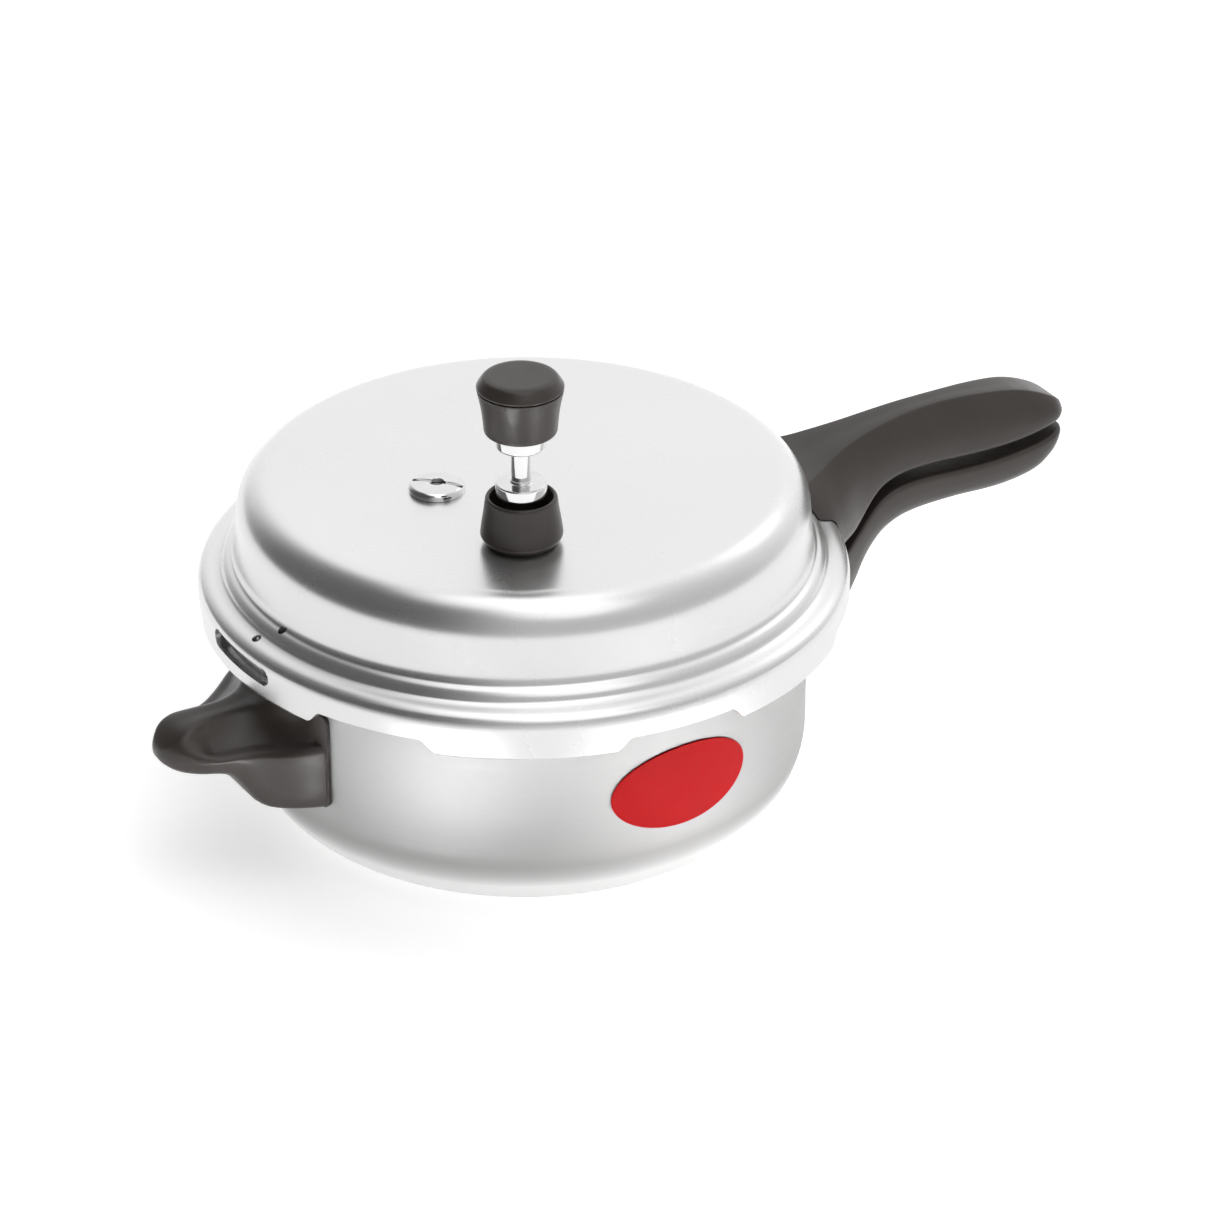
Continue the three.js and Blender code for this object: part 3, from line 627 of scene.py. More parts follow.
def make_label():
    """The red oval label, bent to the wall, with a softly rounded edge."""
    half_width, half_height, height, middle = 31, 17.4, 54.4, -85.6
    inner, outer, steps = PLATE_IN, PLATE_IN + 0.4, 96
    layers = [(1, inner), (1, outer - 0.16), (0.994, outer - 0.04), (0.982, outer)]
    layers += [(share, outer) for share in (0.85, 0.65, 0.42, 0.2)]
    rings = []
    for share, radius in layers:
        ring = []
        for i in range(steps):
            t = 2 * math.pi * i / steps
            angle = middle + math.degrees(half_width * share * math.cos(t) / PAN_R)
            ring.append(point_at(radius, angle, height + half_height * share * math.sin(t)))
        rings.append(ring)
    label = skin_through("label", rings, tip=point_at(outer, middle, height))
    finished(label, "pan", "label", "pan_label")


make_label()


# ---------- rivets and screws ----------


def make_rivet(node, body, angle, height, radius, inside, outside):
    """A rivet along the radius, whose heads start at the radii inside and outside."""
    profile = rounded(
        [
            (0, inside - 1.5), (radius * 1.5, inside - 1.4, 1.2), (radius * 1.9, inside - 0.1, 0.3),
            (radius, inside), (radius, outside), (radius * 1.8, outside, 0.2),
            (radius * 1.4, outside + 1.3, 1.1), (0, outside + 1.7),
        ],
        closed=False,
    )
    rivet = turned(f"{node}_smooth", profile, even_angles(SMALL_STEPS))
    moved(rivet, z=height, tilt=90, turn=angle)
    finished(rivet, body, "rivet_aluminium", node)


SCREW_R = 2
SCREW_HEAD_R = 4
SCREW_HEAD = 2.6
SHANK_ROOM = SCREW_R + GAP
HEAD_ROOM = SCREW_HEAD_R + GAP


def make_screw(node, body, x, y, head_bottom, top, upside_down=False):
    """A pan-head screw along Z with a cross recess, its head down unless it is turned over."""
    length = top - head_bottom
    profile = rounded(
        [
            (0, 0), (SCREW_HEAD_R * 0.72, 0.1, 0.9), (SCREW_HEAD_R, 1, 0.7),
            (SCREW_HEAD_R, SCREW_HEAD, 0.15), (SCREW_R, SCREW_HEAD, 0.2), (SCREW_R, length - 1.2, 0.4),
            (SCREW_R * 0.4, length), (0, length),
        ],
        closed=False,
    )
    screw = turned(f"{node}_smooth", profile, even_angles(SMALL_STEPS))
    reach, half = 2.4, 0.5
    slot = [(-reach, -half), (reach, -half), (reach, half), (-reach, half)]
    for turn in (0, 90):
        cut(screw, moved(prism("slot", slot, -1, 1.1), turn=turn))
    if upside_down:
        screw.data.transform(Matrix.Rotation(math.pi, 4, "X"))
        moved(screw, x, y, top)
    else:
        moved(screw, x, y, head_bottom)
    finished(screw, body, "steel", node)


PAN_RIVET_IN = INNER_R - GAP - 0.2
PAN_RIVET_OUT = PLATE_OUT + GAP
for side, hand in ((-1, "right"), (1, "left")):
    angle = side * PAN_RIVET_ARC
    make_rivet(
        f"lower_handle_rivet_{hand}", "pan", angle, LOWER_RIVET_Z, PAN_RIVET_R, PAN_RIVET_IN, PAN_RIVET_OUT
    )
for side, hand in ((-1, "left"), (1, "right")):
    angle = 180 + side * PAN_RIVET_ARC
    make_rivet(f"helper_rivet_{hand}", "pan", angle, HELPER_RIVET_Z, PAN_RIVET_R, PAN_RIVET_IN, PAN_RIVET_OUT)


# ---------- lower half of the long handle ----------

HANDLE_ROOT = 106
LOWER_TIP_Z = 101.5

tip_curve = curve_through(
    [(236, 1), (244, 0.985), (248, 0.93), (250.6, 0.8), (251.6, 0.66), (HANDLE_END, 0.5)]
)
lower_top = curve_through(
    [
        (106, 76), (130, 76), (137, 77), (142, 79.6), (148, 84), (154, 89.2), (160, 93.4), (168, 96.4),
        (178, 97.4), (200, 97.2), (220, 98), (242, 101.2), (252, 103.4),
    ]
)
lower_bottom = curve_through(
    [
        (106, 37), (124, 37.5), (134, 41), (142, 47.5), (147, 54.5), (151, 62), (156, 68.8), (163, 75.4),
        (174, 80), (196, 82), (221, 82.2), (238, 85.4), (246, 90.4), (252, 96),
    ]
)
lower_width = curve_through(
    [
        (106, 35), (118, 31.6), (126, 28), (132, 25), (138, 21.8), (146, 18), (155, 15), (165, 13.4),
        (185, 12.6), (215, 13.6), (236, 13.6), (246, 12), (252, 10),
    ]
)


def lower_half(x):
    """Flat on top with a rounded edge, and rounded underneath."""
    low, high, w = lower_bottom(x), lower_top(x), lower_width(x)

    def at(part):
        return low + (high - low) * part

    return [
        (0, high), (w * 0.6, high), (w - 1.6, high - 0.3), (w - 0.3, high - 1.6), (w, at(0.7)),
        (w * 0.97, at(0.5)), (w * 0.88, at(0.28)), (w * 0.7, at(0.1)), (w * 0.4, at(0.015)), (0, low),
    ]


# A plate or flange is given by its lowest and highest heights and its arc.
LOWER_PLATE = (43, 62, 18)
LOWER_TONGUE = [
    (114.2, 50), (120, 50), (132, 54), (141, 61), (150, 73), (160, 84), (170, 89.6), (184, 90.6),
]
LOWER_SCREW_X = 177
LOWER_SCREW_SEAT = 85.6
LOWER_SCREW_TOP = 95.6


def inside_pan():
    radius = PAN_R + GAP
    return turned("inside", [(0, 0), (radius, 0), (radius, 150), (0, 150)], even_angles(360))


def screw_room(x, seat, top):
    """The hole that a screw and its head go up through."""
    low, high = seat - 20, top + GAP
    profile = [
        (0, low), (HEAD_ROOM, low), (HEAD_ROOM, seat), (SHANK_ROOM, seat), (SHANK_ROOM, high), (0, high),
    ]
    return moved(turned("screw room", profile, even_angles(SMALL_STEPS)), x)


def bracket_room(middle, plate, inner, outer):
    low, high, plate_arc = plate
    room_arc = plate_arc + 2 * math.degrees(GAP / inner)
    return bent_block("plate room", middle, room_arc, low - GAP, high + GAP, inner - GAP, outer + GAP)


def tongue_room(line):
    return strip("tongue room", line, TONGUE_SHEET + 2 * GAP, TONGUE_WIDTH + 2 * GAP, reach=1)


lower_handle = handle_skin(
    "lower_handle_smooth", HANDLE_ROOT, HANDLE_END, lower_half, tip_curve, LOWER_TIP_Z
)
cut(
    lower_handle,
    inside_pan(),
    bracket_room(0, LOWER_PLATE, PAN_R, PLATE_OUT + RIVET_HEAD_ROOM),
    tongue_room(LOWER_TONGUE),
    screw_room(LOWER_SCREW_X, LOWER_SCREW_SEAT, LOWER_SCREW_TOP),
)
finished(lower_handle, "pan", "bakelite", "lower_handle")
make_screw(
    "lower_handle_screw", "pan", LOWER_SCREW_X, 0, LOWER_SCREW_SEAT - GAP - SCREW_HEAD, LOWER_SCREW_TOP
)


# ---------- helper handle ----------

HELPER_ROOT = 104
HELPER_TIP_Z = 58.6

helper_crest = curve_through(
    [
        (104, 78.4), (114, 78.4), (118, 75.4), (122, 72.6), (130, 71.2), (145, 70.6), (152, 69.6), (158, 68),
        (163, 66),
    ]
)
helper_crest_width = curve_through(
    [(104, 30), (112, 23), (118, 12), (124, 8), (132, 6), (144, 6.4), (152, 8), (162, 8)]
)
helper_ridge = curve_through([(104, 65), (114, 64), (122, 62), (136, 60.2), (150, 59.4), (162, 59)])
helper_width = curve_through(
    [
        (104, 40), (108, 39.2), (112, 37.8), (116.6, 35), (120, 32.4), (124.5, 28.8), (130, 24.8),
        (136, 21.8), (143, 19.8), (149, 17.3), (153, 15), (157, 13.4), (162, 12),
    ]
)
helper_bottom = curve_through(
    [
        (104, 38), (112, 38), (122, 37.2), (127, 37.6), (131, 39.8), (134, 43.6), (138, 48.4), (142, 50.2),
        (150, 51), (162, 52),
    ]
)
helper_square = curve_through([(104, 1), (127, 1), (131, 0.8), (135, 0.3), (139, 0), (162, 0)])
helper_scoop = curve_through([(104, 1), (142, 1), (150, 0.55), (156, 0), (163, 0)])
helper_tip = curve_through(
    [(148, 1), (152, 0.98), (155, 0.92), (158, 0.78), (160.4, 0.55), (161.6, 0.36), (HELPER_END, 0.14)]
)


def helper_half(x):
    """A narrow crest, a hollow on each side for thumb and finger, a side ridge, and an underside that is
    square near the pan and rounded below the nose."""
    low, high, ridge = helper_bottom(x), helper_crest(x), helper_ridge(x)
    crest, w, scoop, square = helper_crest_width(x), helper_width(x), helper_scoop(x), helper_square(x)

    def across(part):
        return crest + (w - crest) * part

    def down(part, bulge):
        return high - (high - ridge) * (part * scoop + bulge * (1 - scoop))

    def under(width, part, square_width, square_part):
        return (
            w * (width + (square_width - width) * square),
            low + (ridge - low) * (part + (square_part - part) * square),
        )

    return [
        (0, high), (crest, down(0.03, 0.05)),
        (across(0.3), down(0.5, 0.14)), (across(0.62), down(0.84, 0.38)), (across(0.9), down(0.94, 0.72)),
        (w, low + (ridge - low) * 0.93), under(0.97, 0.62, 1, 0.5),
        under(0.88, 0.26, 0.99, 0.08), under(0.62, 0.04, 0.93, 0), (0, low),
    ]


HELPER_PLATE = (47, 68, 19)
HELPER_FLANGE = (38.4, 79, 41)
HELPER_SCREW_X = 139
HELPER_SCREW_SEAT = 54.4
HELPER_SCREW_TOP = 63
HELPER_TONGUE = [(114.2, 59), (124, 59), (146, 59)]


def make_helper():
    helper = handle_skin(
        "helper_handle_smooth", HELPER_ROOT, HELPER_END, helper_half, helper_tip, HELPER_TIP_Z
    )
    moved(helper, turn=180)
    low, high, flange_arc = HELPER_FLANGE
    flange = bent_block("flange", 180, flange_arc, low, high, PAN_R - 0.5, PAN_R + 2, corner=3)
    cut(helper, flange, operation="UNION")
    cut(
        helper,
        inside_pan(),
        bracket_room(180, HELPER_PLATE, PAN_R, PLATE_OUT + RIVET_HEAD_ROOM),
        moved(tongue_room(HELPER_TONGUE), turn=180),
        screw_room(-HELPER_SCREW_X, HELPER_SCREW_SEAT, HELPER_SCREW_TOP),
    )
    finished(helper, "pan", "bakelite", "helper_handle")


make_helper()
make_screw("helper_screw", "pan", -HELPER_SCREW_X, 0, HELPER_SCREW_SEAT - GAP - SCREW_HEAD, HELPER_SCREW_TOP)


# ---------- sealing ring ----------

ring_profile = rounded(
    [
        (113.8, RIM_TOP + GAP, 0.4), (126.6, RIM_TOP + GAP, 0.5), (126, 99.6, 0.5), (120.6, 101.4, 0.7),
        (114.2, 101.4, 0.4), (119.6, 99.6, 0.25), (119.6, 98.6, 0.25), (113.8, 98, 0.4),
    ]
)
finished(turned("ring_smooth", ring_profile, even_angles(240)), "seal", "rubber", "sealing_ring")


# ---------- lid ----------

NOTCH_END = 1.55


def tab_share(angle):
    """1 on a skirt tab, 0 in a notch, with an S-shaped edge between."""
    nearest = min(away_from(angle, notch) for notch in NOTCH_ANGLES)
    return smooth_step(nearest, NOTCH_ARC / 2 - NOTCH_END, NOTCH_ARC / 2 + NOTCH_END)


def dome_outside(room=0):
    """The lid's outside from the middle of its top down to the skirt, set off by some room."""
    edge_r = DOME_R - DOME_SHOULDER
    drop = DOME_TOP - DOME_EDGE_TOP
    top = [(r, DOME_TOP - drop * (r / edge_r) ** 2 + room) for r in (0, 12, 26, 40, 54, 68, 82, 92)]
    shoulder = arc(DOME_SHOULDER + room, edge_r, DOME_EDGE_TOP - DOME_SHOULDER, 88, 2, 26)
    ledge = [
        (DOME_R + 0.1, 125), (114.7, 112.2, 1.6), (115.8, 109.7, 0.8), (117.9, 108.7, 0.9),
        (119.4, 107.2, 0.8), (120.4, 105.3, 0.8), (122.4, 104.4, 1), (126.4, 103.2, 1.8),
        (128.7, 101.4, 1.2), (SKIRT_R, 98.6, 1), (SKIRT_R, 97),
    ]
    shifted = [(corner[0] + room, corner[1] + room, *corner[2:]) for corner in ledge]
    return top + shoulder + rounded(shifted, closed=False)


def lid_profile(angle):
    tab = tab_share(angle)
    bottom = NOTCH_TOP + (SKIRT_BOTTOM - NOTCH_TOP) * tab
    lip = SKIRT_IN - 0.5 + (LIP_IN - SKIRT_IN + 0.5) * smooth_step(tab, 0.25, 1)
    fold = 0.35 + 1.3 * tab
    edge = rounded(
        [
            (SKIRT_R, 96), (SKIRT_R, bottom, fold), (lip, bottom, 0.6), (lip, bottom + 2, 0.6),
            (SKIRT_IN, bottom + 2.1, 0.5), (SKIRT_IN, 96),
        ],
        closed=False,
    )
    inside = rounded(
        [
            (SKIRT_IN, 98.6, 1), (126, 100.8, 1), (121.6, 102.2, 0.8), (119, 103, 0.8), (117.6, 105.4, 0.8),
            (114.4, 106.8, 1), (112.6, 110.4, 1.4), (DOME_R - LID_SHEET, 122),
        ],
        closed=False,
    )
    edge_r = DOME_R - DOME_SHOULDER
    under = arc(DOME_SHOULDER - LID_SHEET, edge_r, DOME_EDGE_TOP - DOME_SHOULDER, 0, 90, 14)
    low_top = [(r, DOME_TOP - 2.4 - (DOME_TOP - DOME_EDGE_TOP) * (r / edge_r) ** 2) for r in (80, 54, 26, 0)]
    return dome_outside() + edge + inside + under + low_top


WINDOW_LOW = 91.8
WINDOW_HIGH = 99.2
WINDOW_MIDDLE = 183.4
WINDOW_ARC = 19


def window_block():
    """The skirt's window: a slot with round ends."""
    end = (WINDOW_HIGH - WINDOW_LOW) / 2 - 0.01
    inner, outer = SKIRT_IN - 1.6, SKIRT_R + 2
    return bent_block("window", WINDOW_MIDDLE, WINDOW_ARC, WINDOW_LOW, WINDOW_HIGH, inner, outer, end)


LID_RIVET_ARC = 3.6
LID_RIVET_R = 1.5
LID_RIVET_Z = 93
LID_PLATE = (90, 98.4, 12)
LID_PLATE_IN = SKIRT_R + GAP
LID_PLATE_OUT = LID_PLATE_IN + 1.6
LID_RIVET_HEAD_ROOM = 2
VENT_HOLE_R = 4.6
VALVE_HOLE_R = 7.4
SMALL_HOLE_R = 1.9
THROUGH_FLANGE = [(-122.4, -11.4, 112), (-114.6, -18.7, 110.6)]
THROUGH_TOP = (130, 150)
THROUGH_SKIRT = (126.6, 134)


def make_lid():
    notch_edges = [notch + side * NOTCH_ARC / 2 for notch in NOTCH_ANGLES for side in (-1, 1)]
    lid = turned("lid_smooth", lid_profile, angles_with(notch_edges, 1.8, count=300, extra=14))
    cut(
        lid,
        window_block(),
        *[drill(SMALL_HOLE_R, 96, top, x, y) for x, y, top in THROUGH_FLANGE],
        drill(VENT_HOLE_R, *THROUGH_TOP, WEIGHT.x, WEIGHT.y),
        drill(VALVE_HOLE_R, *THROUGH_TOP, VALVE.x, VALVE.y),
    )
    for side, hand in ((-1, "right"), (1, "left")):
        angle = side * LID_RIVET_ARC
        cut(lid, radial_drill(angle, LID_RIVET_Z, LID_RIVET_R + GAP, *THROUGH_SKIRT))
        make_rivet(
            f"upper_handle_rivet_{hand}", "lid", angle, LID_RIVET_Z, LID_RIVET_R, SKIRT_IN - GAP,
            LID_PLATE_OUT + GAP,
        )
    finished(lid, "lid", "lid_aluminium", "lid_shell")


make_lid()


# ---------- upper half of the long handle ----------

UPPER_TIP_Z = 110.5

upper_top = curve_through(
    [
        (106, 115), (118, 115.4), (128, 117), (140, 120.2), (152, 122.8), (164, 124.9), (178, 126.6),
        (194, 127.2), (210, 126.8), (226, 125.2), (236, 122.4), (246, 118), (252, 114.6),
    ]
)
upper_bottom = curve_through(
    [
        (106, 88.6), (132, 88.6), (138, 88.4), (143, 89.4), (149, 92.8), (155, 97.4), (161, 100.4),
        (170, 102.4), (184, 103), (204, 102.8), (224, 103.6), (240, 105.8), (252, 107.4),
    ]
)
upper_foot = curve_through(
    [
        (106, 43), (118, 41.4), (124, 38), (128, 34.4), (132, 31.2), (138, 26.6), (145, 21.4), (152, 17.6),
        (160, 15.2), (170, 13.8), (185, 13.2), (215, 14.2), (236, 14), (246, 12.4), (252, 10.4),
    ]
)
upper_ridge = curve_through(
    [
        (106, 23.5), (116, 22.5), (124, 19), (132, 15), (141, 11.6), (152, 8.8), (164, 7), (180, 5.6),
        (196, 5.4), (214, 6.4), (232, 7.4), (246, 7.8), (252, 7),
    ]
)


def upper_half(x):
    """A flat top between two ridges, and bulging sides that spread down to a rounded lower edge."""
    low, high = upper_bottom(x), upper_top(x)
    foot, ridge = upper_foot(x), upper_ridge(x)

    def side(part, bulge):
        return (ridge + (foot - ridge) * bulge, high - (high - low - 3) * part)

    return [
        (0, high), (ridge - 0.5, high), side(0.03, 0.06), side(0.22, 0.38), side(0.46, 0.68), side(0.72, 0.9),
        side(0.94, 1), (foot - 0.2, low + 1.8), (foot - 1.7, low + 0.2), (foot * 0.6, low), (0, low),
    ]


UPPER_TONGUE = [(131, 96), (135.4, 97), (142, 101.4), (152, 109.6), (160, 113), (170, 114), (186, 114)]
UPPER_SCREW_X = 178
UPPER_SCREW_SEAT = 107.4
UPPER_SCREW_TOP = 119.6


def make_upper_handle():
    handle = handle_skin(
        "upper_handle_smooth", HANDLE_ROOT, HANDLE_END, upper_half, tip_curve, UPPER_TIP_Z
    )
    outside = dome_outside(GAP)
    under_lid = turned("under lid", outside + [(SKIRT_R + GAP, 70), (0, 70)], even_angles(360))
    cut(
        handle,
        under_lid,
        bracket_room(0, LID_PLATE, SKIRT_R, LID_PLATE_OUT + LID_RIVET_HEAD_ROOM),
        tongue_room(UPPER_TONGUE),
        screw_room(UPPER_SCREW_X, UPPER_SCREW_SEAT, UPPER_SCREW_TOP),
    )
    finished(handle, "lid", "bakelite", "upper_handle")
    head_bottom = UPPER_SCREW_SEAT - GAP - SCREW_HEAD
    make_screw("upper_handle_screw", "lid", UPPER_SCREW_X, 0, head_bottom, UPPER_SCREW_TOP)


make_upper_handle()


# ---------- vent tube and safety valve ----------

LID_UNDER = DOME_TOP - 3.5
VENT_THREAD_ROOM = 4.5
VALVE_THREAD_ROOM = 7.4


def small_turned(name, node, body, slot, corners, x, y, closed=True, steps=72, extra=()):
    """A turned piece standing at (x, y), with the extra cutters taken away before it moves there."""
    piece = turned(name, rounded(corners, closed=closed), even_angles(steps))
    cut(piece, *extra)
    moved(piece, x, y)
    finished(piece, body, slot, node)


def make_nut(node, radius, hole, low, high, x, y):
    """A hexagon nut with both ends turned off at the corners."""
    corners = [(radius * math.cos(i * math.pi / 3), radius * math.sin(i * math.pi / 3)) for i in range(6)]
    nut = prism(f"{node}_smooth", rounded([(*corner, 0.35) for corner in corners]), low, high)
    flat, wide = radius * 0.9, radius + 0.1
    barrel = [(0, low), (flat, low), (wide, low + 1), (wide, high - 1), (flat, high), (0, high)]
    cut(nut, turned("barrel", barrel, even_angles(72)), operation="INTERSECT")
    cut(nut, drill(hole, low - 5, high + 5))
    moved(nut, x, y)
    finished(nut, "lid", "steel", node)


def make_washer(node, slot, hole, radius, thickness, x, y):
    low, high = LID_UNDER - thickness, LID_UNDER
    small_turned(
        f"{node}_smooth", node, "lid", slot,
        [(hole, low, 0.2), (radius, low, 0.3), (radius, high, 0.3), (hole, high, 0.2)], x, y,
    )


small_turned(
    "vent_tube_smooth", "vent_tube", "lid", "chrome",
    [
        (1.1, 128, 0.3), (4.1, 128, 0.6), (4.1, DOME_TOP - 0.35, 0.2), (7.4, DOME_TOP - 0.35, 0.2),
        (7.4, DOME_TOP + 1.8, 0.5), (6.2, DOME_TOP + 2.6, 0.6), (3.2, DOME_TOP + 2.6, 0.5),
        (3.2, WEIGHT_FOOT + 15.8, 0.5), (1.7, WEIGHT_FOOT + 17.9, 0.3), (1.1, WEIGHT_FOOT + 17.9, 0.2),
    ],
    WEIGHT.x, WEIGHT.y,
)
make_washer("vent_washer", "steel", VENT_THREAD_ROOM, 8.4, 1.4, WEIGHT.x, WEIGHT.y)
make_nut("vent_nut", 8.4, VENT_THREAD_ROOM, LID_UNDER - 6, LID_UNDER - 1.75, WEIGHT.x, WEIGHT.y)

VALVE_R = 11.1
VALVE_SLOT_ANGLE = -44.5


def make_valve():
    outline = [(-20, -1.1), (20, -1.1), (20, 1.1), (-20, 1.1)]
    slot = moved(prism("slot", outline, DOME_TOP + 2, DOME_TOP + 5), turn=VALVE_SLOT_ANGLE)
    small_turned(
        "valve_body_smooth", "valve_body", "lid", "chrome",
        [
            (2.8, 129, 0.3), (7, 129, 0.6), (7, DOME_TOP - 0.1, 0.2), (VALVE_R, DOME_TOP - 0.1, 0.25),
            (VALVE_R, DOME_TOP + 1.4, 0.6), (VALVE_R - 1.1, DOME_TOP + 2.6, 0.7),
            (VALVE_R - 3.4, DOME_TOP + 3.2, 1.2), (2.8, DOME_TOP + 3.4, 0.4),
        ],
        VALVE.x, VALVE.y, steps=96, extra=[slot],
    )
    small_turned(
        "valve_plug_smooth", "valve_plug", "lid", "fusible_alloy",
        [(0, 129.6), (2.45, 129.6, 0.3), (2.45, DOME_TOP + 1.8, 0.5), (0, DOME_TOP + 1.5)],
        VALVE.x, VALVE.y, closed=False,
    )
    make_washer("valve_washer", "rubber", VALVE_THREAD_ROOM, 11, 1.6, VALVE.x, VALVE.y)
    make_nut("valve_nut", 11.8, VALVE_THREAD_ROOM, LID_UNDER - 6.6, LID_UNDER - 1.95, VALVE.x, VALVE.y)


make_valve()


# ---------- weight ----------

COLLAR_BOTTOM = 40
KNOB_BOTTOM = 46.5
KNOB_TOP = 64.5
KNOB_SEAT = 60
WEIGHT_SCREW_LENGTH = 13


def weight_piece(name, node, slot, corners, closed=True, extra=()):
    """A turned piece of the weight; its heights are above the weight's lower edge."""
    raised = [(corner[0], corner[1] + WEIGHT_FOOT, *corner[2:]) for corner in corners]
    small_turned(name, node, "weight", slot, raised, WEIGHT.x, WEIGHT.y, closed, 96, extra)


weight_piece(
    "weight_body_smooth", "weight_body", "chrome",
    [
        (0, 21), (3.6, 16.6, 0.3), (3.6, 3.6, 0.3), (5.8, 3.6, 0.3), (5.8, 10, 0.2), (8.2, 10, 0.2),
        (8.2, 20.4, 0.2), (9.9, 20.4, 0.6), (9.9, 25.5, 0.8), (4.5, 25.5, 0.5), (3.8, 26.3, 0.5),
        (3.8, COLLAR_BOTTOM - 0.6, 0.4), (4.6, COLLAR_BOTTOM, 0.4), (9.5, COLLAR_BOTTOM + 0.2, 0.9),
        (9.5, KNOB_BOTTOM - GAP, 0.4), (5, KNOB_BOTTOM - GAP, 0.2), (5, 54.6, 0.2), (0, 54.6),
    ],
    closed=False,
    extra=[drill(SHANK_ROOM, WEIGHT_FOOT + 46, WEIGHT_FOOT + 56)],
)
weight_piece(
    "weight_skirt_smooth", "weight_skirt", "bakelite",
    [
        (8.9, 0, 0.4), (13.4, 0, 0.5), (16, 3.2, 1.2), (15.4, 8, 2), (14.4, 14, 2), (13.8, 18.8, 0.7),
        (13.2, 19.5, 0.4), (12.6, 19.5, 0.3), (12, 18.8, 0.4), (12, 9.7, 0.3), (6.1, 9.7, 0.3),
        (6.1, 5.4, 0.2), (8.9, 5.4, 0.3),
    ],
)
weight_piece(
    "weight_retainer_smooth", "weight_retainer", "steel",
    [(6.1, 3.9, 0.2), (8.4, 3.9, 0.3), (8.4, 5.1, 0.3), (6.1, 5.1, 0.2)],
)
weight_piece(
    "weight_knob_smooth", "weight_knob", "bakelite",
    [
        (5.3, KNOB_BOTTOM, 0.3), (13.2, KNOB_BOTTOM, 0.7), (14, KNOB_BOTTOM + 0.9, 0.8), (14.3, 51.6, 2.5),
        (15, 57.4, 2.5), (16.3, KNOB_TOP - 1.2, 0.5), (16.5, KNOB_TOP, 0.3), (HEAD_ROOM, KNOB_TOP, 0.3),
        (HEAD_ROOM, KNOB_SEAT, 0.2), (SHANK_ROOM, KNOB_SEAT, 0.2), (SHANK_ROOM, 55, 0.2), (5.3, 55, 0.2),
    ],
)
screw_top = WEIGHT_FOOT + KNOB_SEAT + GAP + SCREW_HEAD
screw_foot = screw_top - WEIGHT_SCREW_LENGTH
make_screw("weight_screw", "weight", WEIGHT.x, WEIGHT.y, screw_foot, screw_top, upside_down=True)
cap_height = CAP_TOP - WEIGHT_FOOT
weight_piece(
    "weight_cap_smooth", "weight_cap", "bakelite",
    [
        (0, KNOB_TOP + GAP), (16.4, KNOB_TOP + GAP, 0.4), (16.7, KNOB_TOP + 1.1, 0.4),
        (16.1, KNOB_TOP + 2.2, 0.7), (14.1, cap_height - 0.4, 1.4), (12, cap_height, 0.8), (0, cap_height),
    ],
    closed=False,
)


# ---------- CAD pieces that keep their shape ----------

for node in ("lower_handle_bracket", "helper_bracket", "upper_handle_bracket"):
    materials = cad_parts[node].data.materials
    materials.clear()
    materials.append(FINISHES["steel"])


# ---------- studio ----------

BACKDROP = 0.95


def studio_world():
    """A pale room, bright above and dimmer behind the camera. A dark screen stands to the camera's left, and
    two soft boxes hang on its right, one high up in front and one at the back. Seen directly, no part of
    the room is darker than the backdrop."""
    world = bpy.data.worlds.new("studio")
    bpy.context.scene.world = world
    world.use_nodes = True
    tree = world.node_tree
    nodes, links = tree.nodes, tree.links
    direction = nodes.new("ShaderNodeTexCoord").outputs["Generated"]

    def share_towards(vector, azimuth, elevation=0):
        """The cosine of the angle between a vector and a direction."""
        rise = math.radians(elevation)
        return vector_math(tree, "DOT_PRODUCT", vector, point_at(math.cos(rise), azimuth, math.sin(rise)))

    def step(value, start, end, low=0, high=1):
        node = nodes.new("ShaderNodeMapRange")
        node.interpolation_type = "SMOOTHSTEP"
        links.new(value, node.inputs["Value"])
        for key, number in (("From Min", start), ("From Max", end), ("To Min", low), ("To Max", high)):
            node.inputs[key].default_value = number
        return node.outputs["Result"]

    def combine(operation, a, b):
        node = nodes.new("ShaderNodeMath")
        node.operation = operation
        links.new(a, node.inputs[0])
        if isinstance(b, (int, float)):
            node.inputs[1].default_value = b
        else:
            links.new(b, node.inputs[1])
        return node.outputs["Value"]

    level = vector_math(tree, "NORMALIZE", vector_math(tree, "MULTIPLY", direction, (1, 1, 0)))
    height = vector_math(tree, "DOT_PRODUCT", direction, (0, 0, 1))

    def soft_box(azimuth, elevation, size, brightness):
        """A round patch of light, size degrees in radius, with a soft edge."""
        inner, outer = math.cos(math.radians(size - 2.5)), math.cos(math.radians(size + 2.5))
        return step(share_towards(direction, azimuth, elevation), outer, inner, 0, brightness)

    screen = combine("MULTIPLY", step(share_towards(level, 165), 0, 0.97), step(height, 0.86, 0.975, 1, 0))
    wall = step(share_towards(level, 61), -0.2, 0.95, 0.63, 0.98)
    room = combine("MULTIPLY", wall, step(screen, 0, 1, 1, 0.13))
    light = combine("ADD", room, step(height, 0.93, 0.975, 0, 0.6))
    light = combine("ADD", light, soft_box(-91, 62, 19, 0.7))
    light = combine("ADD", light, soft_box(19, 38, 11, 0.5))
    seen_directly = nodes.new("ShaderNodeLightPath").outputs["Is Camera Ray"]
    light = combine("MAXIMUM", light, combine("MULTIPLY", seen_directly, BACKDROP))
    background = nodes["Background"]
    links.new(light, background.inputs["Color"])
    background.inputs["Strength"].default_value = 1


FLOOR_REACH = 3000


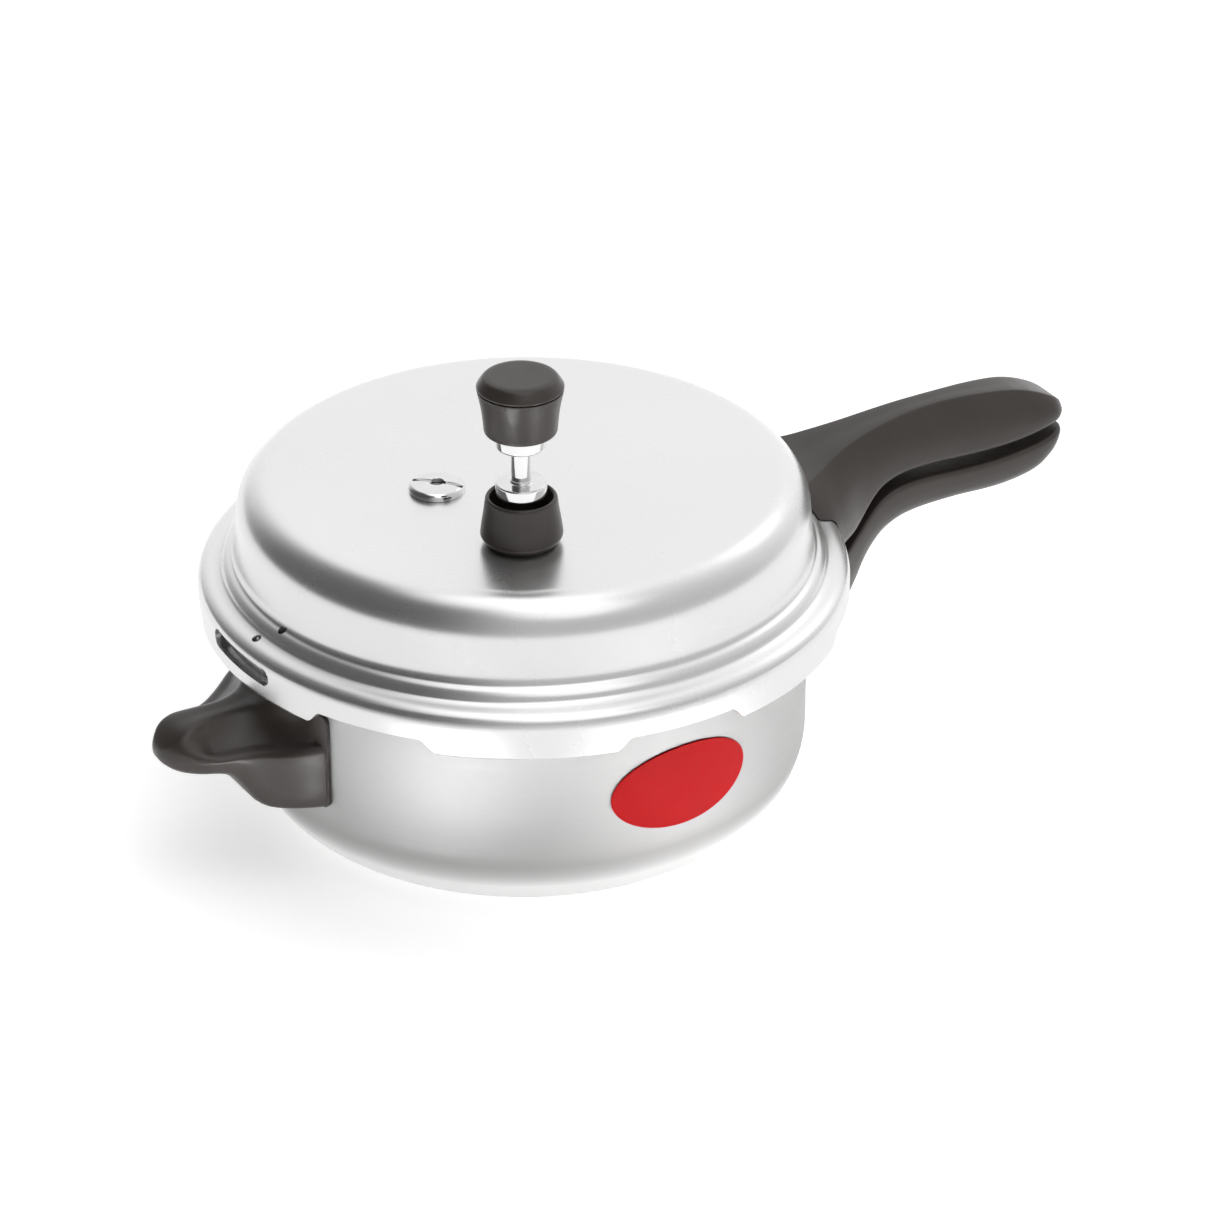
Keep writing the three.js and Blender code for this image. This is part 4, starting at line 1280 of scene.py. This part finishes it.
def make_floor():
    corners = [(x * FLOOR_REACH, y * FLOOR_REACH, 0) for x, y in ((-1, -1), (1, -1), (1, 1), (-1, 1))]
    floor = mesh_object("floor", corners, [[0, 1, 2, 3]])
    surface = Surface("pale floor", (0.9, 0.9, 0.9), 0, 0.9)
    surface.colours(surface.noise(3, 3), (0.9, 0.9, 0.9), (0.915, 0.915, 0.915))
    surface.shader.inputs["Emission Color"].default_value = (1, 1, 1, 1)
    surface.shader.inputs["Emission Strength"].default_value = 0.45
    floor.data.materials.append(surface.material)


def add_light(name, place, aim, size, power, spread=180):
    """A square soft light at a place, facing an aim. It isn't seen itself, nor mirrored in the metal."""
    lamp = bpy.data.lights.new(name, "AREA")
    lamp.size = size * MM
    lamp.energy = power
    lamp.spread = math.radians(spread)
    light = bpy.data.objects.new(name, lamp)
    light.location = place * MM
    light.rotation_euler = (place - aim).to_track_quat("Z", "Y").to_euler()
    light.visible_camera = False
    light.visible_glossy = False
    bpy.context.scene.collection.objects.link(light)


def light_floor(name, azimuth, distance, height, size, spread, power):
    """A soft pool of light on one side of the floor, which the pan's wall mirrors."""
    spot = Vector(point_at(distance, azimuth, 0))
    add_light(name, spot + Vector((0, 0, height)), spot, size, power, spread)


CAMERA_AIM = Vector((28.8, -15.95, 79.5))
CAMERA_AZIMUTH = -29
CAMERA_ELEVATION = 29.09
CAMERA_DISTANCE = 1800
CAMERA_LENS = 133.47
CAMERA_SENSOR = 36


def add_camera():
    camera_data = bpy.data.cameras.new("camera")
    camera_data.sensor_width = CAMERA_SENSOR
    camera_data.lens = CAMERA_LENS
    camera = bpy.data.objects.new("camera", camera_data)
    flat = math.cos(math.radians(CAMERA_ELEVATION))
    back = Vector(point_at(flat, CAMERA_AZIMUTH - 90, math.sin(math.radians(CAMERA_ELEVATION))))
    camera.location = (CAMERA_AIM + back * CAMERA_DISTANCE) * MM
    camera.rotation_euler = back.to_track_quat("Z", "Y").to_euler()
    bpy.context.scene.collection.objects.link(camera)
    bpy.context.scene.camera = camera


studio_world()
make_floor()
add_light("overhead", Vector((200, -500, 1600)), CAMERA_AIM, size=1100, power=4)
light_floor("left pool", azimuth=-139, distance=235, height=260, size=60, spread=24, power=0.17)
light_floor("right pool", azimuth=-79, distance=225, height=340, size=110, spread=30, power=0.14)
add_camera()
bpy.context.scene.view_settings.view_transform = "Standard"

bpy.context.view_layer.update()
